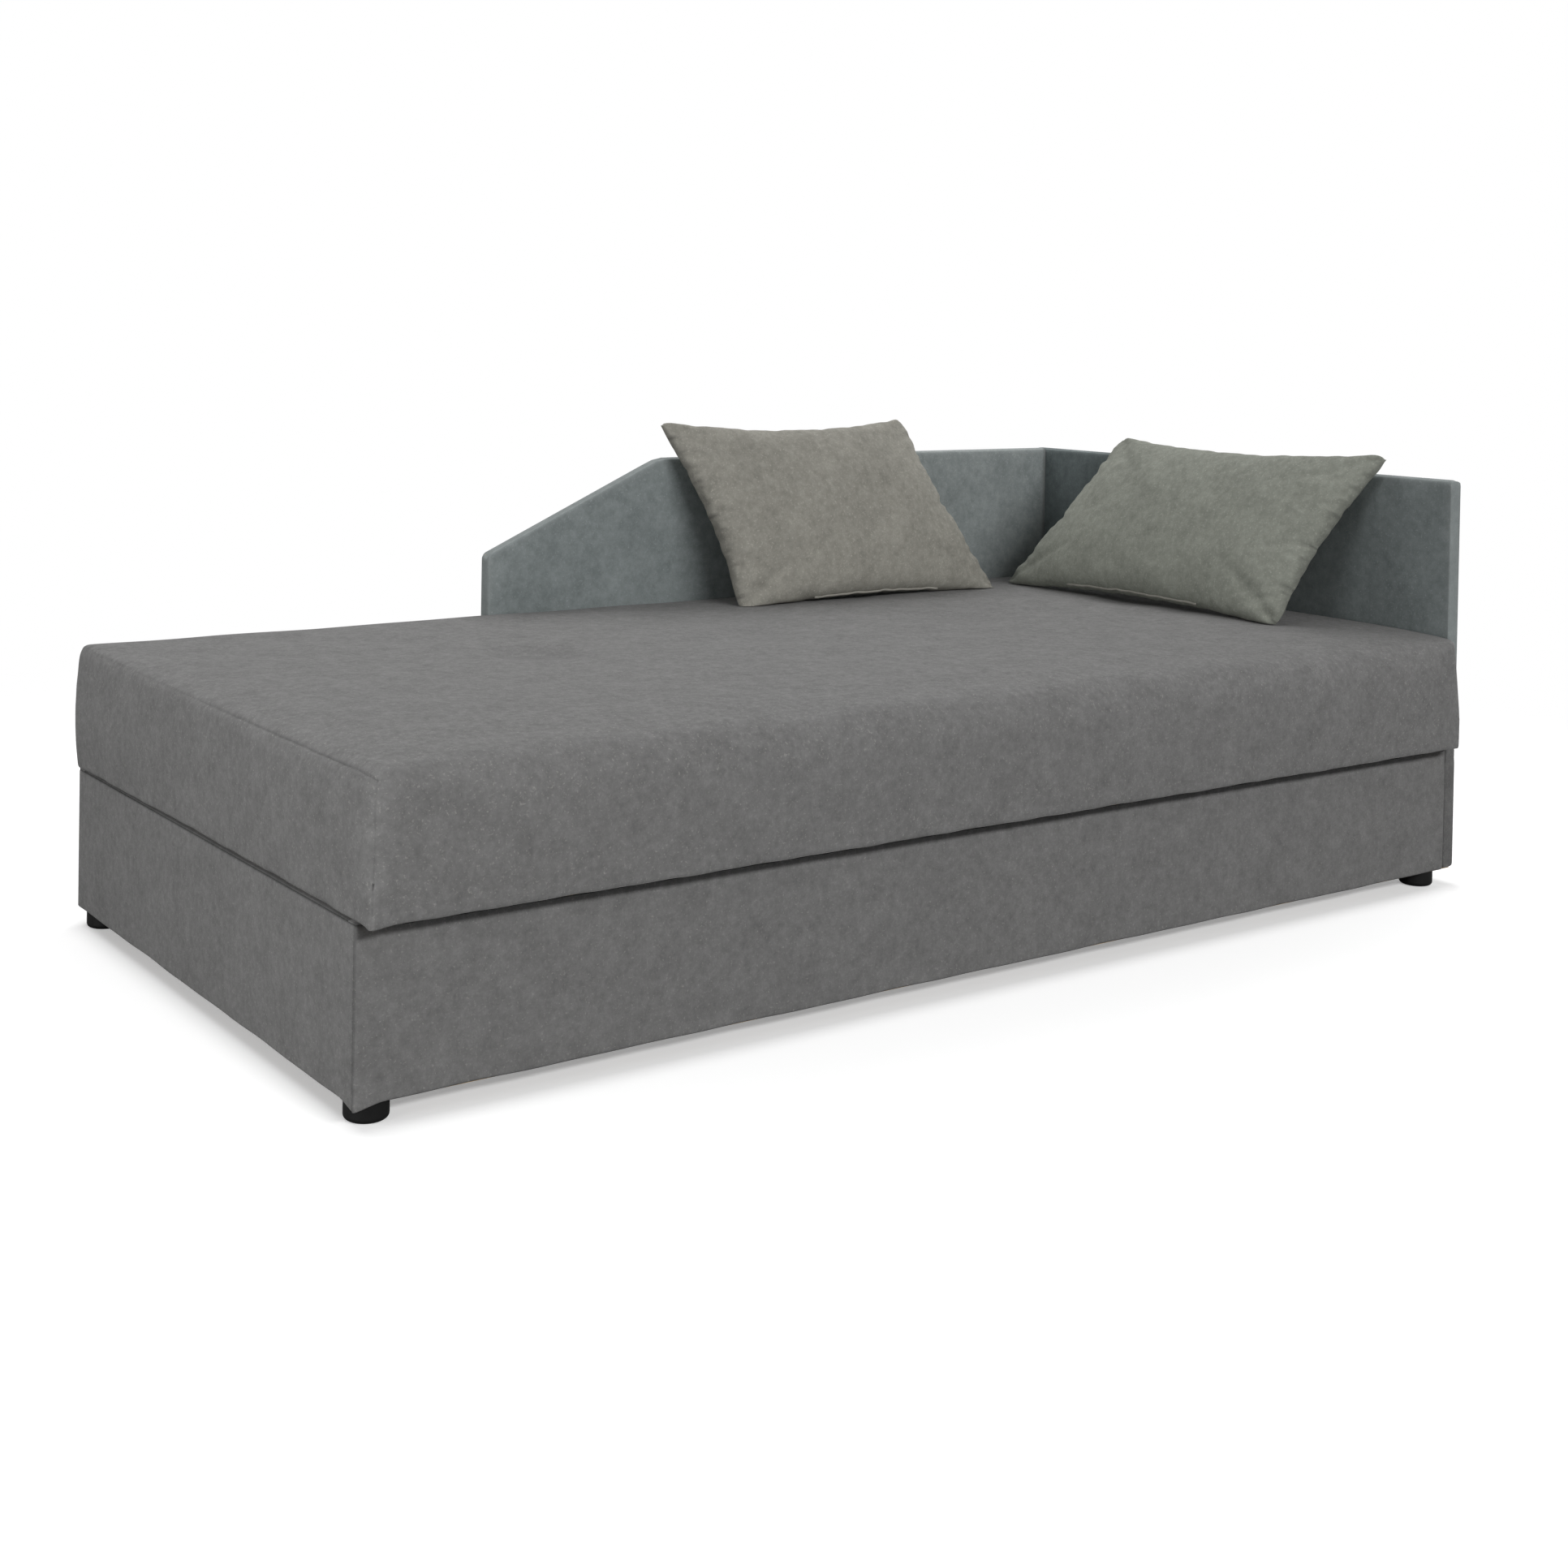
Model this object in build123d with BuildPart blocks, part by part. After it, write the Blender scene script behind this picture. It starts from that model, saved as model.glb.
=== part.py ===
from build123d import *
import os
from math import atan2, cos, hypot, radians, sin

# Upholstered corner daybed with a bed box under a lying surface that lifts forward.
# Millimetres. +X runs from the foot end to the head end, +Y to the rear, +Z up from the floor.

# Main sizes
lying_length = 2000.0
box_depth = 970.0
box_height = 209.0
leg_height = 26.0
panel_top = 683.0
mattress_overhang = 38.0
mattress_height = 177.0
mattress_crown = 12.0

# Bed box
box_cover_thickness = 3.0
board_thickness = 16.0
corner_block_side = 45.0
corner_block_height = 150.0
ledger_height = 12.0
ledger_width = 20.0
floor_thickness = 4.0
floor_ease = 1.0
centre_rail_width = 60.0
leg_radius = 27.0
leg_round = 6.0
leg_inset = 32.0
leg_screw_radius = 3.0
leg_screw_length = 45.0
leg_screw_head_radius = 6.0
leg_screw_head_height = 4.0
leg_counterbore_radius = 7.0
leg_counterbore_depth = 12.0

# Head and back panels
panel_core_thickness = 18.0
panel_padding = 4.0
panel_round = 9.0
back_panel_start = 699.0
back_panel_low_top = 526.0
back_panel_slope_run = 348.0
slope_top_round = 70.0
slope_low_round = 22.0
panel_bolt_radius = 4.0
panel_bolt_head_radius = 8.0
panel_bolt_head_height = 4.0
panel_bolt_ease = 0.5
panel_nut_radius = 5.5
panel_nut_length = 12.0
panel_nut_flange_radius = 11.0
panel_nut_flange = 1.5
panel_bolt_edge = 130.0
panel_bolt_low = 45.0
panel_bolt_high = 160.0
head_bolt_columns = 2
back_bolt_columns = 4

# Lifting lying surface
lid_gap = 3.0
mattress_end_gap = 6.0
mattress_cover_wall = 4.0
mattress_edge_radius = 16.0
rail_thickness = 22.0
rail_height = 45.0
rail_ease = 1.0
lining_thickness = 1.5
lining_margin = 12.0
cross_rail_count = 3
cross_rail_width = 50.0
deck_thickness = 4.0
tuft_count = 4
tuft_foot_inset = 563.0
tuft_head_inset = 177.0
tuft_row = 575.0
tie_radius = 1.5
tie_ease = 0.2
buffer_radius = 6.5
buffer_ease = 0.3

# Lift fitting: pivots are measured from the box front and from the floor
rear_base_pivot = (500.0, 97.0)
rear_lid_pivot = (815.0, 212.0)
front_base_pivot = (358.36, 76.02)
front_lid_pivot = (715.0, 196.89)
spring_post_place = (320.0, 100.0)
spring_lug_distance = 110.0
pin_radius = 5.0
pin_running_ease = 0.05
pin_head_radius = 8.0
pin_head_height = 2.0
open_pivot_ease = 2.2
arm_width = 20.0
arm_thickness = 4.0
plate_thickness = 3.0
bracket_thickness = 4.0
fitting_ease = 0.5
plate_margin = 22.0
plate_round = 8.0
bracket_margin = 15.0
bracket_top_lap = 40.0
bracket_screw_count = 3
screw_radius = 2.5
screw_head_radius = 4.5
screw_head_height = 2.0
screw_length = 14.0
post_radius = 4.0
post_ease = 0.3
spring_radius = 9.0
spring_wire = 1.5
spring_taper = 14.0
spring_eye_reach = 26.0
spring_ease = 1.5

# Loose cushions: widths of the bottom and top seams, slanted height, lean, sideways slip of the top, and
# how far the middle of the bottom seam stands from the head panel and from the back panel
back_cushion_widths = (590.0, 545.0)
back_cushion_height = 345.0
back_cushion_lean = 21.5
back_cushion_slip = -118.0
back_cushion_setback = (565.0, 137.0)
head_cushion_widths = (651.0, 607.0)
head_cushion_height = 332.0
head_cushion_lean = 31.4
head_cushion_slip = 112.0
head_cushion_setback = (188.0, 429.0)
cushion_front_bulge = 74.0
cushion_back_bulge = 36.0
cushion_shoulder = 0.6
cushion_shoulder_scale = 0.86
cushion_face_scale = 0.5
cushion_cover_wall = 2.0
cushion_seam_allowance = 7.0
cushion_rest_ease = 0.6
zip_length = 300.0
zip_width = 4.5
zip_thickness = 2.0
zip_inset = 1.5

overcut = 1.0

# Places worked out from the sizes above
panel_thickness = panel_core_thickness + 2 * panel_padding
overall_length = lying_length + panel_thickness
overall_depth = mattress_overhang + box_depth + panel_thickness
foot_x = -overall_length / 2
head_x = foot_x + lying_length
mattress_front_y = -overall_depth / 2
box_front_y = mattress_front_y + mattress_overhang
box_rear_y = box_front_y + box_depth
panel_rear_y = box_rear_y + panel_thickness
box_bottom = leg_height
box_top = box_bottom + box_height

board_foot_x = foot_x + box_cover_thickness
inner_foot_x = board_foot_x + board_thickness
inner_head_x = head_x - board_thickness
board_front_y = box_front_y + box_cover_thickness
inner_front_y = board_front_y + board_thickness
board_rear_y = box_rear_y - box_cover_thickness
inner_rear_y = board_rear_y - board_thickness
floor_bottom = box_bottom + ledger_height
box_middle_x = (inner_foot_x + inner_head_x) / 2

lid_bottom = box_top + lid_gap
mattress_top = lid_bottom + mattress_height
mattress_head_x = head_x - mattress_end_gap
mattress_rear_y = box_rear_y - mattress_end_gap
rail_bottom = lid_bottom + lining_thickness
rail_top = rail_bottom + rail_height
deck_top = rail_top + deck_thickness
frame_inset = mattress_cover_wall + rail_ease
frame_foot_x = foot_x + frame_inset
frame_head_x = mattress_head_x - frame_inset
frame_front_y = mattress_front_y + frame_inset
frame_rear_y = mattress_rear_y - frame_inset

os.makedirs("parts", exist_ok=True)


def keep(piece, label):
    """Label a finished piece and write its file."""
    piece.part.label = label
    export_step(piece.part, f"parts/{label}.step")


def span(x, y, z, mode=Mode.ADD):
    """Box between pairs of limits, in the part that is being built."""
    with Locations(((x[0] + x[1]) / 2, (y[0] + y[1]) / 2, (z[0] + z[1]) / 2)):
        Box(x[1] - x[0], y[1] - y[0], z[1] - z[0], mode=mode)


def rod_x(radius, x, y, z, mode=Mode.ADD):
    """Round bar along X from x[0] to x[1], in the part that is being built."""
    with Locations(((x[0] + x[1]) / 2, y, z)):
        Cylinder(radius, abs(x[1] - x[0]), rotation=(0, 90, 0), mode=mode)


def rod_y(radius, x, y, z, mode=Mode.ADD):
    """Round bar along Y from y[0] to y[1], in the part that is being built."""
    with Locations((x, (y[0] + y[1]) / 2, z)):
        Cylinder(radius, abs(y[1] - y[0]), rotation=(90, 0, 0), mode=mode)


def rod_z(radius, x, y, z, mode=Mode.ADD):
    """Round bar along Z from z[0] to z[1], in the part that is being built."""
    with Locations((x, y, (z[0] + z[1]) / 2)):
        Cylinder(radius, abs(z[1] - z[0]), mode=mode)


def spread(low, high, count):
    """Evenly spaced values from low to high."""
    return [low + (high - low) * i / (count - 1) for i in range(count)]


# Bolt places of the two panels
panel_bolt_rows = [box_bottom + panel_bolt_low, box_bottom + panel_bolt_high]
head_bolt_ys = spread(inner_front_y + panel_bolt_edge, inner_rear_y - panel_bolt_edge, head_bolt_columns)
back_start_x = foot_x + back_panel_start
back_bolt_xs = spread(back_start_x + panel_bolt_edge, inner_head_x - panel_bolt_edge, back_bolt_columns)
head_bolts = [(y, z) for y in head_bolt_ys for z in panel_bolt_rows]
back_bolts = [(x, z) for x in back_bolt_xs for z in panel_bolt_rows]
bolt_hole_radius = panel_bolt_radius + panel_bolt_ease

# Fitting places: sideways stack at each end, from the box board towards the middle
rear_base = (box_front_y + rear_base_pivot[0], rear_base_pivot[1])
rear_lid = (box_front_y + rear_lid_pivot[0], rear_lid_pivot[1])
front_base = (box_front_y + front_base_pivot[0], front_base_pivot[1])
front_lid = (box_front_y + front_lid_pivot[0], front_lid_pivot[1])
spring_post = (box_front_y + spring_post_place[0], spring_post_place[1])
rear_arm_angle = atan2(rear_lid[1] - rear_base[1], rear_lid[0] - rear_base[0])
spring_lug = (
    rear_base[0] + spring_lug_distance * cos(rear_arm_angle),
    rear_base[1] + spring_lug_distance * sin(rear_arm_angle),
)
ends = {
    "foot": (1, inner_foot_x, frame_foot_x + rail_thickness),
    "head": (-1, inner_head_x, frame_head_x - rail_thickness),
}
plate_y = (
    min(front_base[0], spring_post[0]) - plate_margin,
    rear_base[0] + plate_margin,
)
plate_z = (
    min(front_base[1], rear_base[1]) - plate_margin,
    max(front_base[1], rear_base[1], spring_post[1]) + plate_margin,
)
plate_screw_inset = plate_margin / 2
plate_screws = [
    (y, z)
    for y in (plate_y[0] + plate_screw_inset, plate_y[1] - plate_screw_inset)
    for z in (plate_z[0] + plate_screw_inset, plate_z[1] - plate_screw_inset)
]
bracket_y = (front_lid[0] - bracket_margin, rear_lid[0] + bracket_margin)
bracket_z = (min(front_lid[1], rear_lid[1]) - bracket_margin, rail_bottom + bracket_top_lap)
bracket_screw_z = rail_bottom + bracket_top_lap / 2
bracket_screw_ys = spread(
    bracket_y[0] + bracket_margin, bracket_y[1] - bracket_margin, bracket_screw_count
)

# Boards of the bed box
with BuildPart() as box_front_panel:
    span((board_foot_x, head_x), (board_front_y, inner_front_y), (box_bottom, box_top))
keep(box_front_panel, "box_front_panel")

with BuildPart() as box_rear_panel:
    span((board_foot_x, head_x), (inner_rear_y, board_rear_y), (box_bottom, box_top))
    for x, z in back_bolts:
        rod_y(bolt_hole_radius, x, (inner_rear_y - overcut, board_rear_y + overcut), z, Mode.SUBTRACT)
keep(box_rear_panel, "box_rear_panel")

with BuildPart() as box_foot_panel:
    span((board_foot_x, inner_foot_x), (inner_front_y, inner_rear_y), (box_bottom, box_top))
    for y, z in plate_screws:
        rod_x(screw_radius, (inner_foot_x - screw_length, inner_foot_x), y, z, Mode.SUBTRACT)
keep(box_foot_panel, "box_foot_panel")

with BuildPart() as box_head_panel:
    span((inner_head_x, head_x), (inner_front_y, inner_rear_y), (box_bottom, box_top))
    for y, z in head_bolts:
        rod_x(bolt_hole_radius, (inner_head_x - overcut, head_x + overcut), y, z, Mode.SUBTRACT)
    for y, z in plate_screws:
        rod_x(screw_radius, (inner_head_x, inner_head_x + screw_length), y, z, Mode.SUBTRACT)
keep(box_head_panel, "box_head_panel")

# Fabric skins of the bed box
with BuildPart() as box_front_cover:
    span((foot_x, head_x), (box_front_y, board_front_y), (box_bottom, box_top))
keep(box_front_cover, "box_front_cover")

with BuildPart() as box_foot_cover:
    span((foot_x, board_foot_x), (board_front_y, board_rear_y), (box_bottom, box_top))
keep(box_foot_cover, "box_foot_cover")

with BuildPart() as box_rear_cover:
    span((foot_x, head_x), (board_rear_y, box_rear_y), (box_bottom, box_top))
    for x, z in back_bolts:
        rod_y(bolt_hole_radius, x, (board_rear_y - overcut, box_rear_y + overcut), z, Mode.SUBTRACT)
keep(box_rear_cover, "box_rear_cover")

# Corner blocks carry the legs
leg_xs = (foot_x + leg_inset, head_x - leg_inset + box_cover_thickness)
leg_ys = (box_front_y + leg_inset, box_rear_y - leg_inset)
block_xs = (
    (inner_foot_x, inner_foot_x + corner_block_side),
    (inner_head_x - corner_block_side, inner_head_x),
)
block_ys = (
    (inner_front_y, inner_front_y + corner_block_side),
    (inner_rear_y - corner_block_side, inner_rear_y),
)
block_top = box_bottom + corner_block_height
leg_screw_top = leg_counterbore_depth + leg_screw_length

with BuildPart() as corner_blocks:
    for x in block_xs:
        for y in block_ys:
            span(x, y, (box_bottom, block_top))
    for x in leg_xs:
        for y in leg_ys:
            rod_z(leg_screw_radius, x, y, (box_bottom, leg_screw_top), Mode.SUBTRACT)
keep(corner_blocks, "corner_blocks")

# Floor of the bed box on its ledgers and centre rail
with BuildPart() as box_ledgers:
    for y in ((inner_front_y, inner_front_y + ledger_width), (inner_rear_y - ledger_width, inner_rear_y)):
        span((block_xs[0][1], block_xs[1][0]), y, (box_bottom, floor_bottom))
    for x in ((inner_foot_x, inner_foot_x + ledger_width), (inner_head_x - ledger_width, inner_head_x)):
        span(x, (block_ys[0][1], block_ys[1][0]), (box_bottom, floor_bottom))
keep(box_ledgers, "box_ledgers")

with BuildPart() as box_centre_rail:
    span(
        (box_middle_x - centre_rail_width / 2, box_middle_x + centre_rail_width / 2),
        (inner_front_y + ledger_width, inner_rear_y - ledger_width),
        (box_bottom, floor_bottom),
    )
keep(box_centre_rail, "box_centre_rail")

floor_z = (floor_bottom, floor_bottom + floor_thickness)
floor_y = (inner_front_y + floor_ease, inner_rear_y - floor_ease)
floor_halves = {
    "box_floor_foot_half": (inner_foot_x + floor_ease, box_middle_x - floor_ease / 2),
    "box_floor_head_half": (box_middle_x + floor_ease / 2, inner_head_x - floor_ease),
}
for label, floor_x in floor_halves.items():
    with BuildPart() as floor_half:
        span(floor_x, floor_y, floor_z)
        for x in block_xs:
            for y in block_ys:
                span(
                    (x[0] - floor_ease, x[1] + floor_ease),
                    (y[0] - floor_ease, y[1] + floor_ease),
                    floor_z,
                    Mode.SUBTRACT,
                )
    keep(floor_half, label)

# Legs and their screws
leg_names = (("leg_front_left", "leg_rear_left"), ("leg_front_right", "leg_rear_right"))
for x, names in zip(leg_xs, leg_names):
    for y, label in zip(leg_ys, names):
        with BuildPart() as leg:
            rod_z(leg_radius, x, y, (0, leg_height))
            fillet(leg.edges().group_by(Axis.Z)[0], radius=leg_round)
            rod_z(leg_screw_radius, x, y, (0, leg_height), Mode.SUBTRACT)
            rod_z(leg_counterbore_radius, x, y, (0, leg_counterbore_depth), Mode.SUBTRACT)
        keep(leg, label)

with BuildPart() as leg_screws:
    for x in leg_xs:
        for y in leg_ys:
            rod_z(leg_screw_radius, x, y, (leg_counterbore_depth - leg_screw_head_height, leg_screw_top))
            rod_z(
                leg_screw_head_radius,
                x,
                y,
                (leg_counterbore_depth - leg_screw_head_height, leg_counterbore_depth),
            )
keep(leg_screws, "leg_screws")

# Head panel: board core inside a padded cover that is open at the bottom
head_outer_x = head_x + panel_thickness
head_core_x = (head_x + panel_padding, head_outer_x - panel_padding)
nut_seat_x = head_core_x[1] - panel_nut_flange

with BuildPart() as head_panel_core:
    span(
        head_core_x,
        (box_front_y + panel_padding, panel_rear_y - panel_padding),
        (box_bottom, panel_top - panel_padding),
    )
    head_core_blank = head_panel_core.part
    for y, z in head_bolts:
        rod_x(panel_nut_radius, (head_core_x[0] - overcut, head_core_x[1]), y, z, Mode.SUBTRACT)
        rod_x(panel_nut_flange_radius, (nut_seat_x, head_core_x[1]), y, z, Mode.SUBTRACT)
keep(head_panel_core, "head_panel_core")

with BuildPart() as head_panel_cover:
    span((head_x, head_outer_x), (box_front_y, panel_rear_y), (box_bottom, panel_top))
    fillet(head_panel_cover.edges().filter_by(lambda e: e.center().Z > box_bottom), radius=panel_round)
    add(head_core_blank, mode=Mode.SUBTRACT)
    for y, z in head_bolts:
        rod_x(bolt_hole_radius, (head_x - overcut, head_core_x[0] + overcut), y, z, Mode.SUBTRACT)
keep(head_panel_cover, "head_panel_cover")

# Back panel: the same make, with its foot end sloped
back_core_y = (box_rear_y + panel_padding, panel_rear_y - panel_padding)
nut_seat_y = back_core_y[1] - panel_nut_flange


def back_outline(bottom):
    """Corner points of the back panel in X and Z, down to the given bottom."""
    return (
        (back_start_x, bottom),
        (head_x, bottom),
        (head_x, panel_top),
        (back_start_x + back_panel_slope_run, panel_top),
        (back_start_x, back_panel_low_top),
    )


with BuildPart() as back_panel_core:
    with BuildSketch(Plane.XZ.offset(-back_core_y[1])):
        Polygon(*back_outline(box_bottom - panel_padding), align=None)
        offset(amount=-panel_padding, kind=Kind.INTERSECTION, mode=Mode.REPLACE)
    extrude(amount=panel_core_thickness)
    back_core_blank = back_panel_core.part
    for x, z in back_bolts:
        rod_y(panel_nut_radius, x, (back_core_y[0] - overcut, back_core_y[1]), z, Mode.SUBTRACT)
        rod_y(panel_nut_flange_radius, x, (nut_seat_y, back_core_y[1]), z, Mode.SUBTRACT)
keep(back_panel_core, "back_panel_core")

with BuildPart() as back_panel_cover:
    with BuildSketch(Plane.XZ.offset(-panel_rear_y)) as back_face:
        Polygon(*back_outline(box_bottom), align=None)
        outline_corners = back_face.vertices().sort_by(Axis.X)
        fillet(outline_corners.sort_by(Axis.Y)[2], radius=slope_low_round)
        fillet(back_face.vertices().sort_by(Axis.Y)[-2:].sort_by(Axis.X)[0], radius=slope_top_round)
    extrude(amount=panel_thickness)
    add(back_core_blank, mode=Mode.SUBTRACT)
    for x, z in back_bolts:
        rod_y(bolt_hole_radius, x, (box_rear_y - overcut, back_core_y[0] + overcut), z, Mode.SUBTRACT)
keep(back_panel_cover, "back_panel_cover")

# Bolts and sleeve nuts that hold the panels on the box
with BuildPart() as head_panel_bolts:
    for y, z in head_bolts:
        rod_x(panel_bolt_radius, (inner_head_x - panel_bolt_head_height, nut_seat_x), y, z)
        rod_x(panel_bolt_head_radius, (inner_head_x - panel_bolt_head_height, inner_head_x), y, z)
keep(head_panel_bolts, "head_panel_bolts")

with BuildPart() as back_panel_bolts:
    for x, z in back_bolts:
        rod_y(panel_bolt_radius, x, (inner_rear_y - panel_bolt_head_height, nut_seat_y), z)
        rod_y(panel_bolt_head_radius, x, (inner_rear_y - panel_bolt_head_height, inner_rear_y), z)
keep(back_panel_bolts, "back_panel_bolts")

with BuildPart() as head_panel_nuts:
    for y, z in head_bolts:
        rod_x(panel_nut_radius, (nut_seat_x - panel_nut_length, head_core_x[1]), y, z)
        rod_x(panel_nut_flange_radius, (nut_seat_x, head_core_x[1]), y, z)
        rod_x(panel_bolt_radius, (nut_seat_x - panel_nut_length, nut_seat_x), y, z, Mode.SUBTRACT)
keep(head_panel_nuts, "head_panel_nuts")

with BuildPart() as back_panel_nuts:
    for x, z in back_bolts:
        rod_y(panel_nut_radius, x, (nut_seat_y - panel_nut_length, back_core_y[1]), z)
        rod_y(panel_nut_flange_radius, x, (nut_seat_y, back_core_y[1]), z)
        rod_y(panel_bolt_radius, x, (nut_seat_y - panel_nut_length, nut_seat_y), z, Mode.SUBTRACT)
keep(back_panel_nuts, "back_panel_nuts")

# Lift fitting at each end: base plate, two arms, lid bracket and tension spring
arm_hole_radius = pin_radius + pin_running_ease


def link_plane(start, x):
    """Plane across X with its own X axis along an arm that starts at a pivot."""
    angle = arm_angles[start]
    return Plane(origin=(x, start[0], start[1]), x_dir=(0, cos(angle), sin(angle)), z_dir=(1, 0, 0))


arm_angles = {
    rear_base: rear_arm_angle,
    front_base: atan2(front_lid[1] - front_base[1], front_lid[0] - front_base[0]),
}
rear_arm_length = hypot(rear_lid[0] - rear_base[0], rear_lid[1] - rear_base[1])
front_arm_length = hypot(front_lid[0] - front_base[0], front_lid[1] - front_base[1])
spring_run = hypot(spring_lug[0] - spring_post[0], spring_lug[1] - spring_post[1])
spring_angle = atan2(spring_lug[1] - spring_post[1], spring_lug[0] - spring_post[0])
eye_radius = post_radius + post_ease + spring_wire

stacks = {}
for end, (inward, wall_x, bracket_x) in ends.items():
    plate_face = wall_x + inward * plate_thickness
    rear_arm_inner = bracket_x - inward * fitting_ease
    rear_arm_outer = rear_arm_inner - inward * arm_thickness
    bracket_inner = bracket_x + inward * bracket_thickness
    front_arm_outer = bracket_inner + inward * fitting_ease
    front_arm_inner = front_arm_outer + inward * arm_thickness
    spring_x = front_arm_inner + inward * (pin_head_height + spring_ease + spring_radius)
    post_end = spring_x + inward * (spring_wire + spring_ease)
    stacks[end] = (plate_face, rear_arm_inner, front_arm_inner, rear_arm_outer, bracket_inner)

    with BuildPart() as fitting_plate:
        with BuildSketch(Plane.YZ.offset(wall_x)):
            with Locations(((plate_y[0] + plate_y[1]) / 2, (plate_z[0] + plate_z[1]) / 2)):
                RectangleRounded(plate_y[1] - plate_y[0], plate_z[1] - plate_z[0], plate_round)
            with Locations(rear_base, front_base):
                Circle(pin_radius, mode=Mode.SUBTRACT)
            with Locations(*plate_screws):
                Circle(screw_radius, mode=Mode.SUBTRACT)
        extrude(amount=inward * plate_thickness)
        sunk_head_x = (plate_face - inward * screw_head_height, plate_face)
        for y, z in plate_screws:
            rod_x(screw_head_radius, sunk_head_x, y, z, Mode.SUBTRACT)
        rod_x(post_radius, (plate_face, post_end), *spring_post)
    keep(fitting_plate, f"fitting_plate_{end}")

    with BuildPart() as rear_arm:
        with BuildSketch(link_plane(rear_base, rear_arm_outer)):
            with Locations((rear_arm_length / 2, 0)):
                SlotCenterToCenter(rear_arm_length, arm_width)
            with Locations((0, 0), (rear_arm_length, 0)):
                Circle(arm_hole_radius, mode=Mode.SUBTRACT)
        extrude(amount=inward * arm_thickness)
        rod_x(post_radius, (rear_arm_inner, post_end), *spring_lug)
    keep(rear_arm, f"rear_arm_{end}")

    with BuildPart() as front_arm:
        with BuildSketch(link_plane(front_base, front_arm_outer)):
            with Locations((front_arm_length / 2, 0)):
                SlotCenterToCenter(front_arm_length, arm_width)
            Circle(arm_hole_radius, mode=Mode.SUBTRACT)
        extrude(amount=inward * arm_thickness)
        rod_x(pin_radius, (bracket_x, front_arm_inner), *front_lid)
    keep(front_arm, f"front_arm_{end}")

    with BuildPart() as lid_bracket:
        with BuildSketch(Plane.YZ.offset(bracket_x)):
            with Locations(((bracket_y[0] + bracket_y[1]) / 2, (bracket_z[0] + bracket_z[1]) / 2)):
                RectangleRounded(bracket_y[1] - bracket_y[0], bracket_z[1] - bracket_z[0], plate_round)
            with Locations(front_lid):
                Circle(pin_radius + open_pivot_ease, mode=Mode.SUBTRACT)
            with Locations(rear_lid):
                Circle(pin_radius, mode=Mode.SUBTRACT)
            with Locations(*[(y, bracket_screw_z) for y in bracket_screw_ys]):
                Circle(screw_radius, mode=Mode.SUBTRACT)
        extrude(amount=inward * bracket_thickness)
    keep(lid_bracket, f"lid_bracket_{end}")

    spring_plane = Plane(
        origin=(spring_x, spring_post[0], spring_post[1]),
        x_dir=(0, cos(spring_angle), sin(spring_angle)),
        z_dir=(1, 0, 0),
    )
    barrel = (spring_eye_reach, spring_run - spring_eye_reach)
    with BuildPart() as lift_spring:
        with BuildSketch(spring_plane):
            with BuildLine():
                Polyline(
                    (eye_radius, 0),
                    (eye_radius, spring_wire),
                    (barrel[0] - spring_taper, spring_wire),
                    (barrel[0], spring_radius),
                    (barrel[1], spring_radius),
                    (barrel[1] + spring_taper, spring_wire),
                    (spring_run - eye_radius, spring_wire),
                    (spring_run - eye_radius, 0),
                    close=True,
                )
            make_face()
        revolve(axis=Axis(spring_plane.origin, spring_plane.x_dir))
        with Locations(spring_plane * Location((0, 0, 0)), spring_plane * Location((spring_run, 0, 0))):
            Torus(eye_radius, spring_wire)
    keep(lift_spring, f"lift_spring_{end}")

with BuildPart() as plate_screw_set:
    for end, (inward, wall_x, bracket_x) in ends.items():
        plate_face = stacks[end][0]
        for y, z in plate_screws:
            rod_x(screw_radius, (wall_x - inward * screw_length, plate_face), y, z)
            rod_x(screw_head_radius, (plate_face - inward * screw_head_height, plate_face), y, z)
keep(plate_screw_set, "plate_screws")

with BuildPart() as base_pivot_pins:
    for end, (inward, wall_x, bracket_x) in ends.items():
        plate_face, rear_arm_inner, front_arm_inner, rear_arm_outer, bracket_inner = stacks[end]
        for pivot, arm_face in ((rear_base, rear_arm_inner), (front_base, front_arm_inner)):
            head_start = arm_face + inward * pin_running_ease
            rod_x(pin_radius, (wall_x, head_start), *pivot)
            rod_x(pin_head_radius, (head_start, head_start + inward * pin_head_height), *pivot)
keep(base_pivot_pins, "base_pivot_pins")

with BuildPart() as lid_pivot_pins:
    for end, (inward, wall_x, bracket_x) in ends.items():
        plate_face, rear_arm_inner, front_arm_inner, rear_arm_outer, bracket_inner = stacks[end]
        head_start = rear_arm_outer - inward * pin_running_ease
        rod_x(pin_radius, (head_start, bracket_inner), *rear_lid)
        rod_x(pin_head_radius, (head_start - inward * pin_head_height, head_start), *rear_lid)
keep(lid_pivot_pins, "lid_pivot_pins")

with BuildPart() as bracket_screw_set:
    for end, (inward, wall_x, bracket_x) in ends.items():
        bracket_inner = stacks[end][4]
        for y in bracket_screw_ys:
            rod_x(screw_radius, (bracket_x - inward * screw_length, bracket_inner), y, bracket_screw_z)
            rod_x(
                screw_head_radius,
                (bracket_inner, bracket_inner + inward * screw_head_height),
                y,
                bracket_screw_z,
            )
keep(bracket_screw_set, "bracket_screws")

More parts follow.
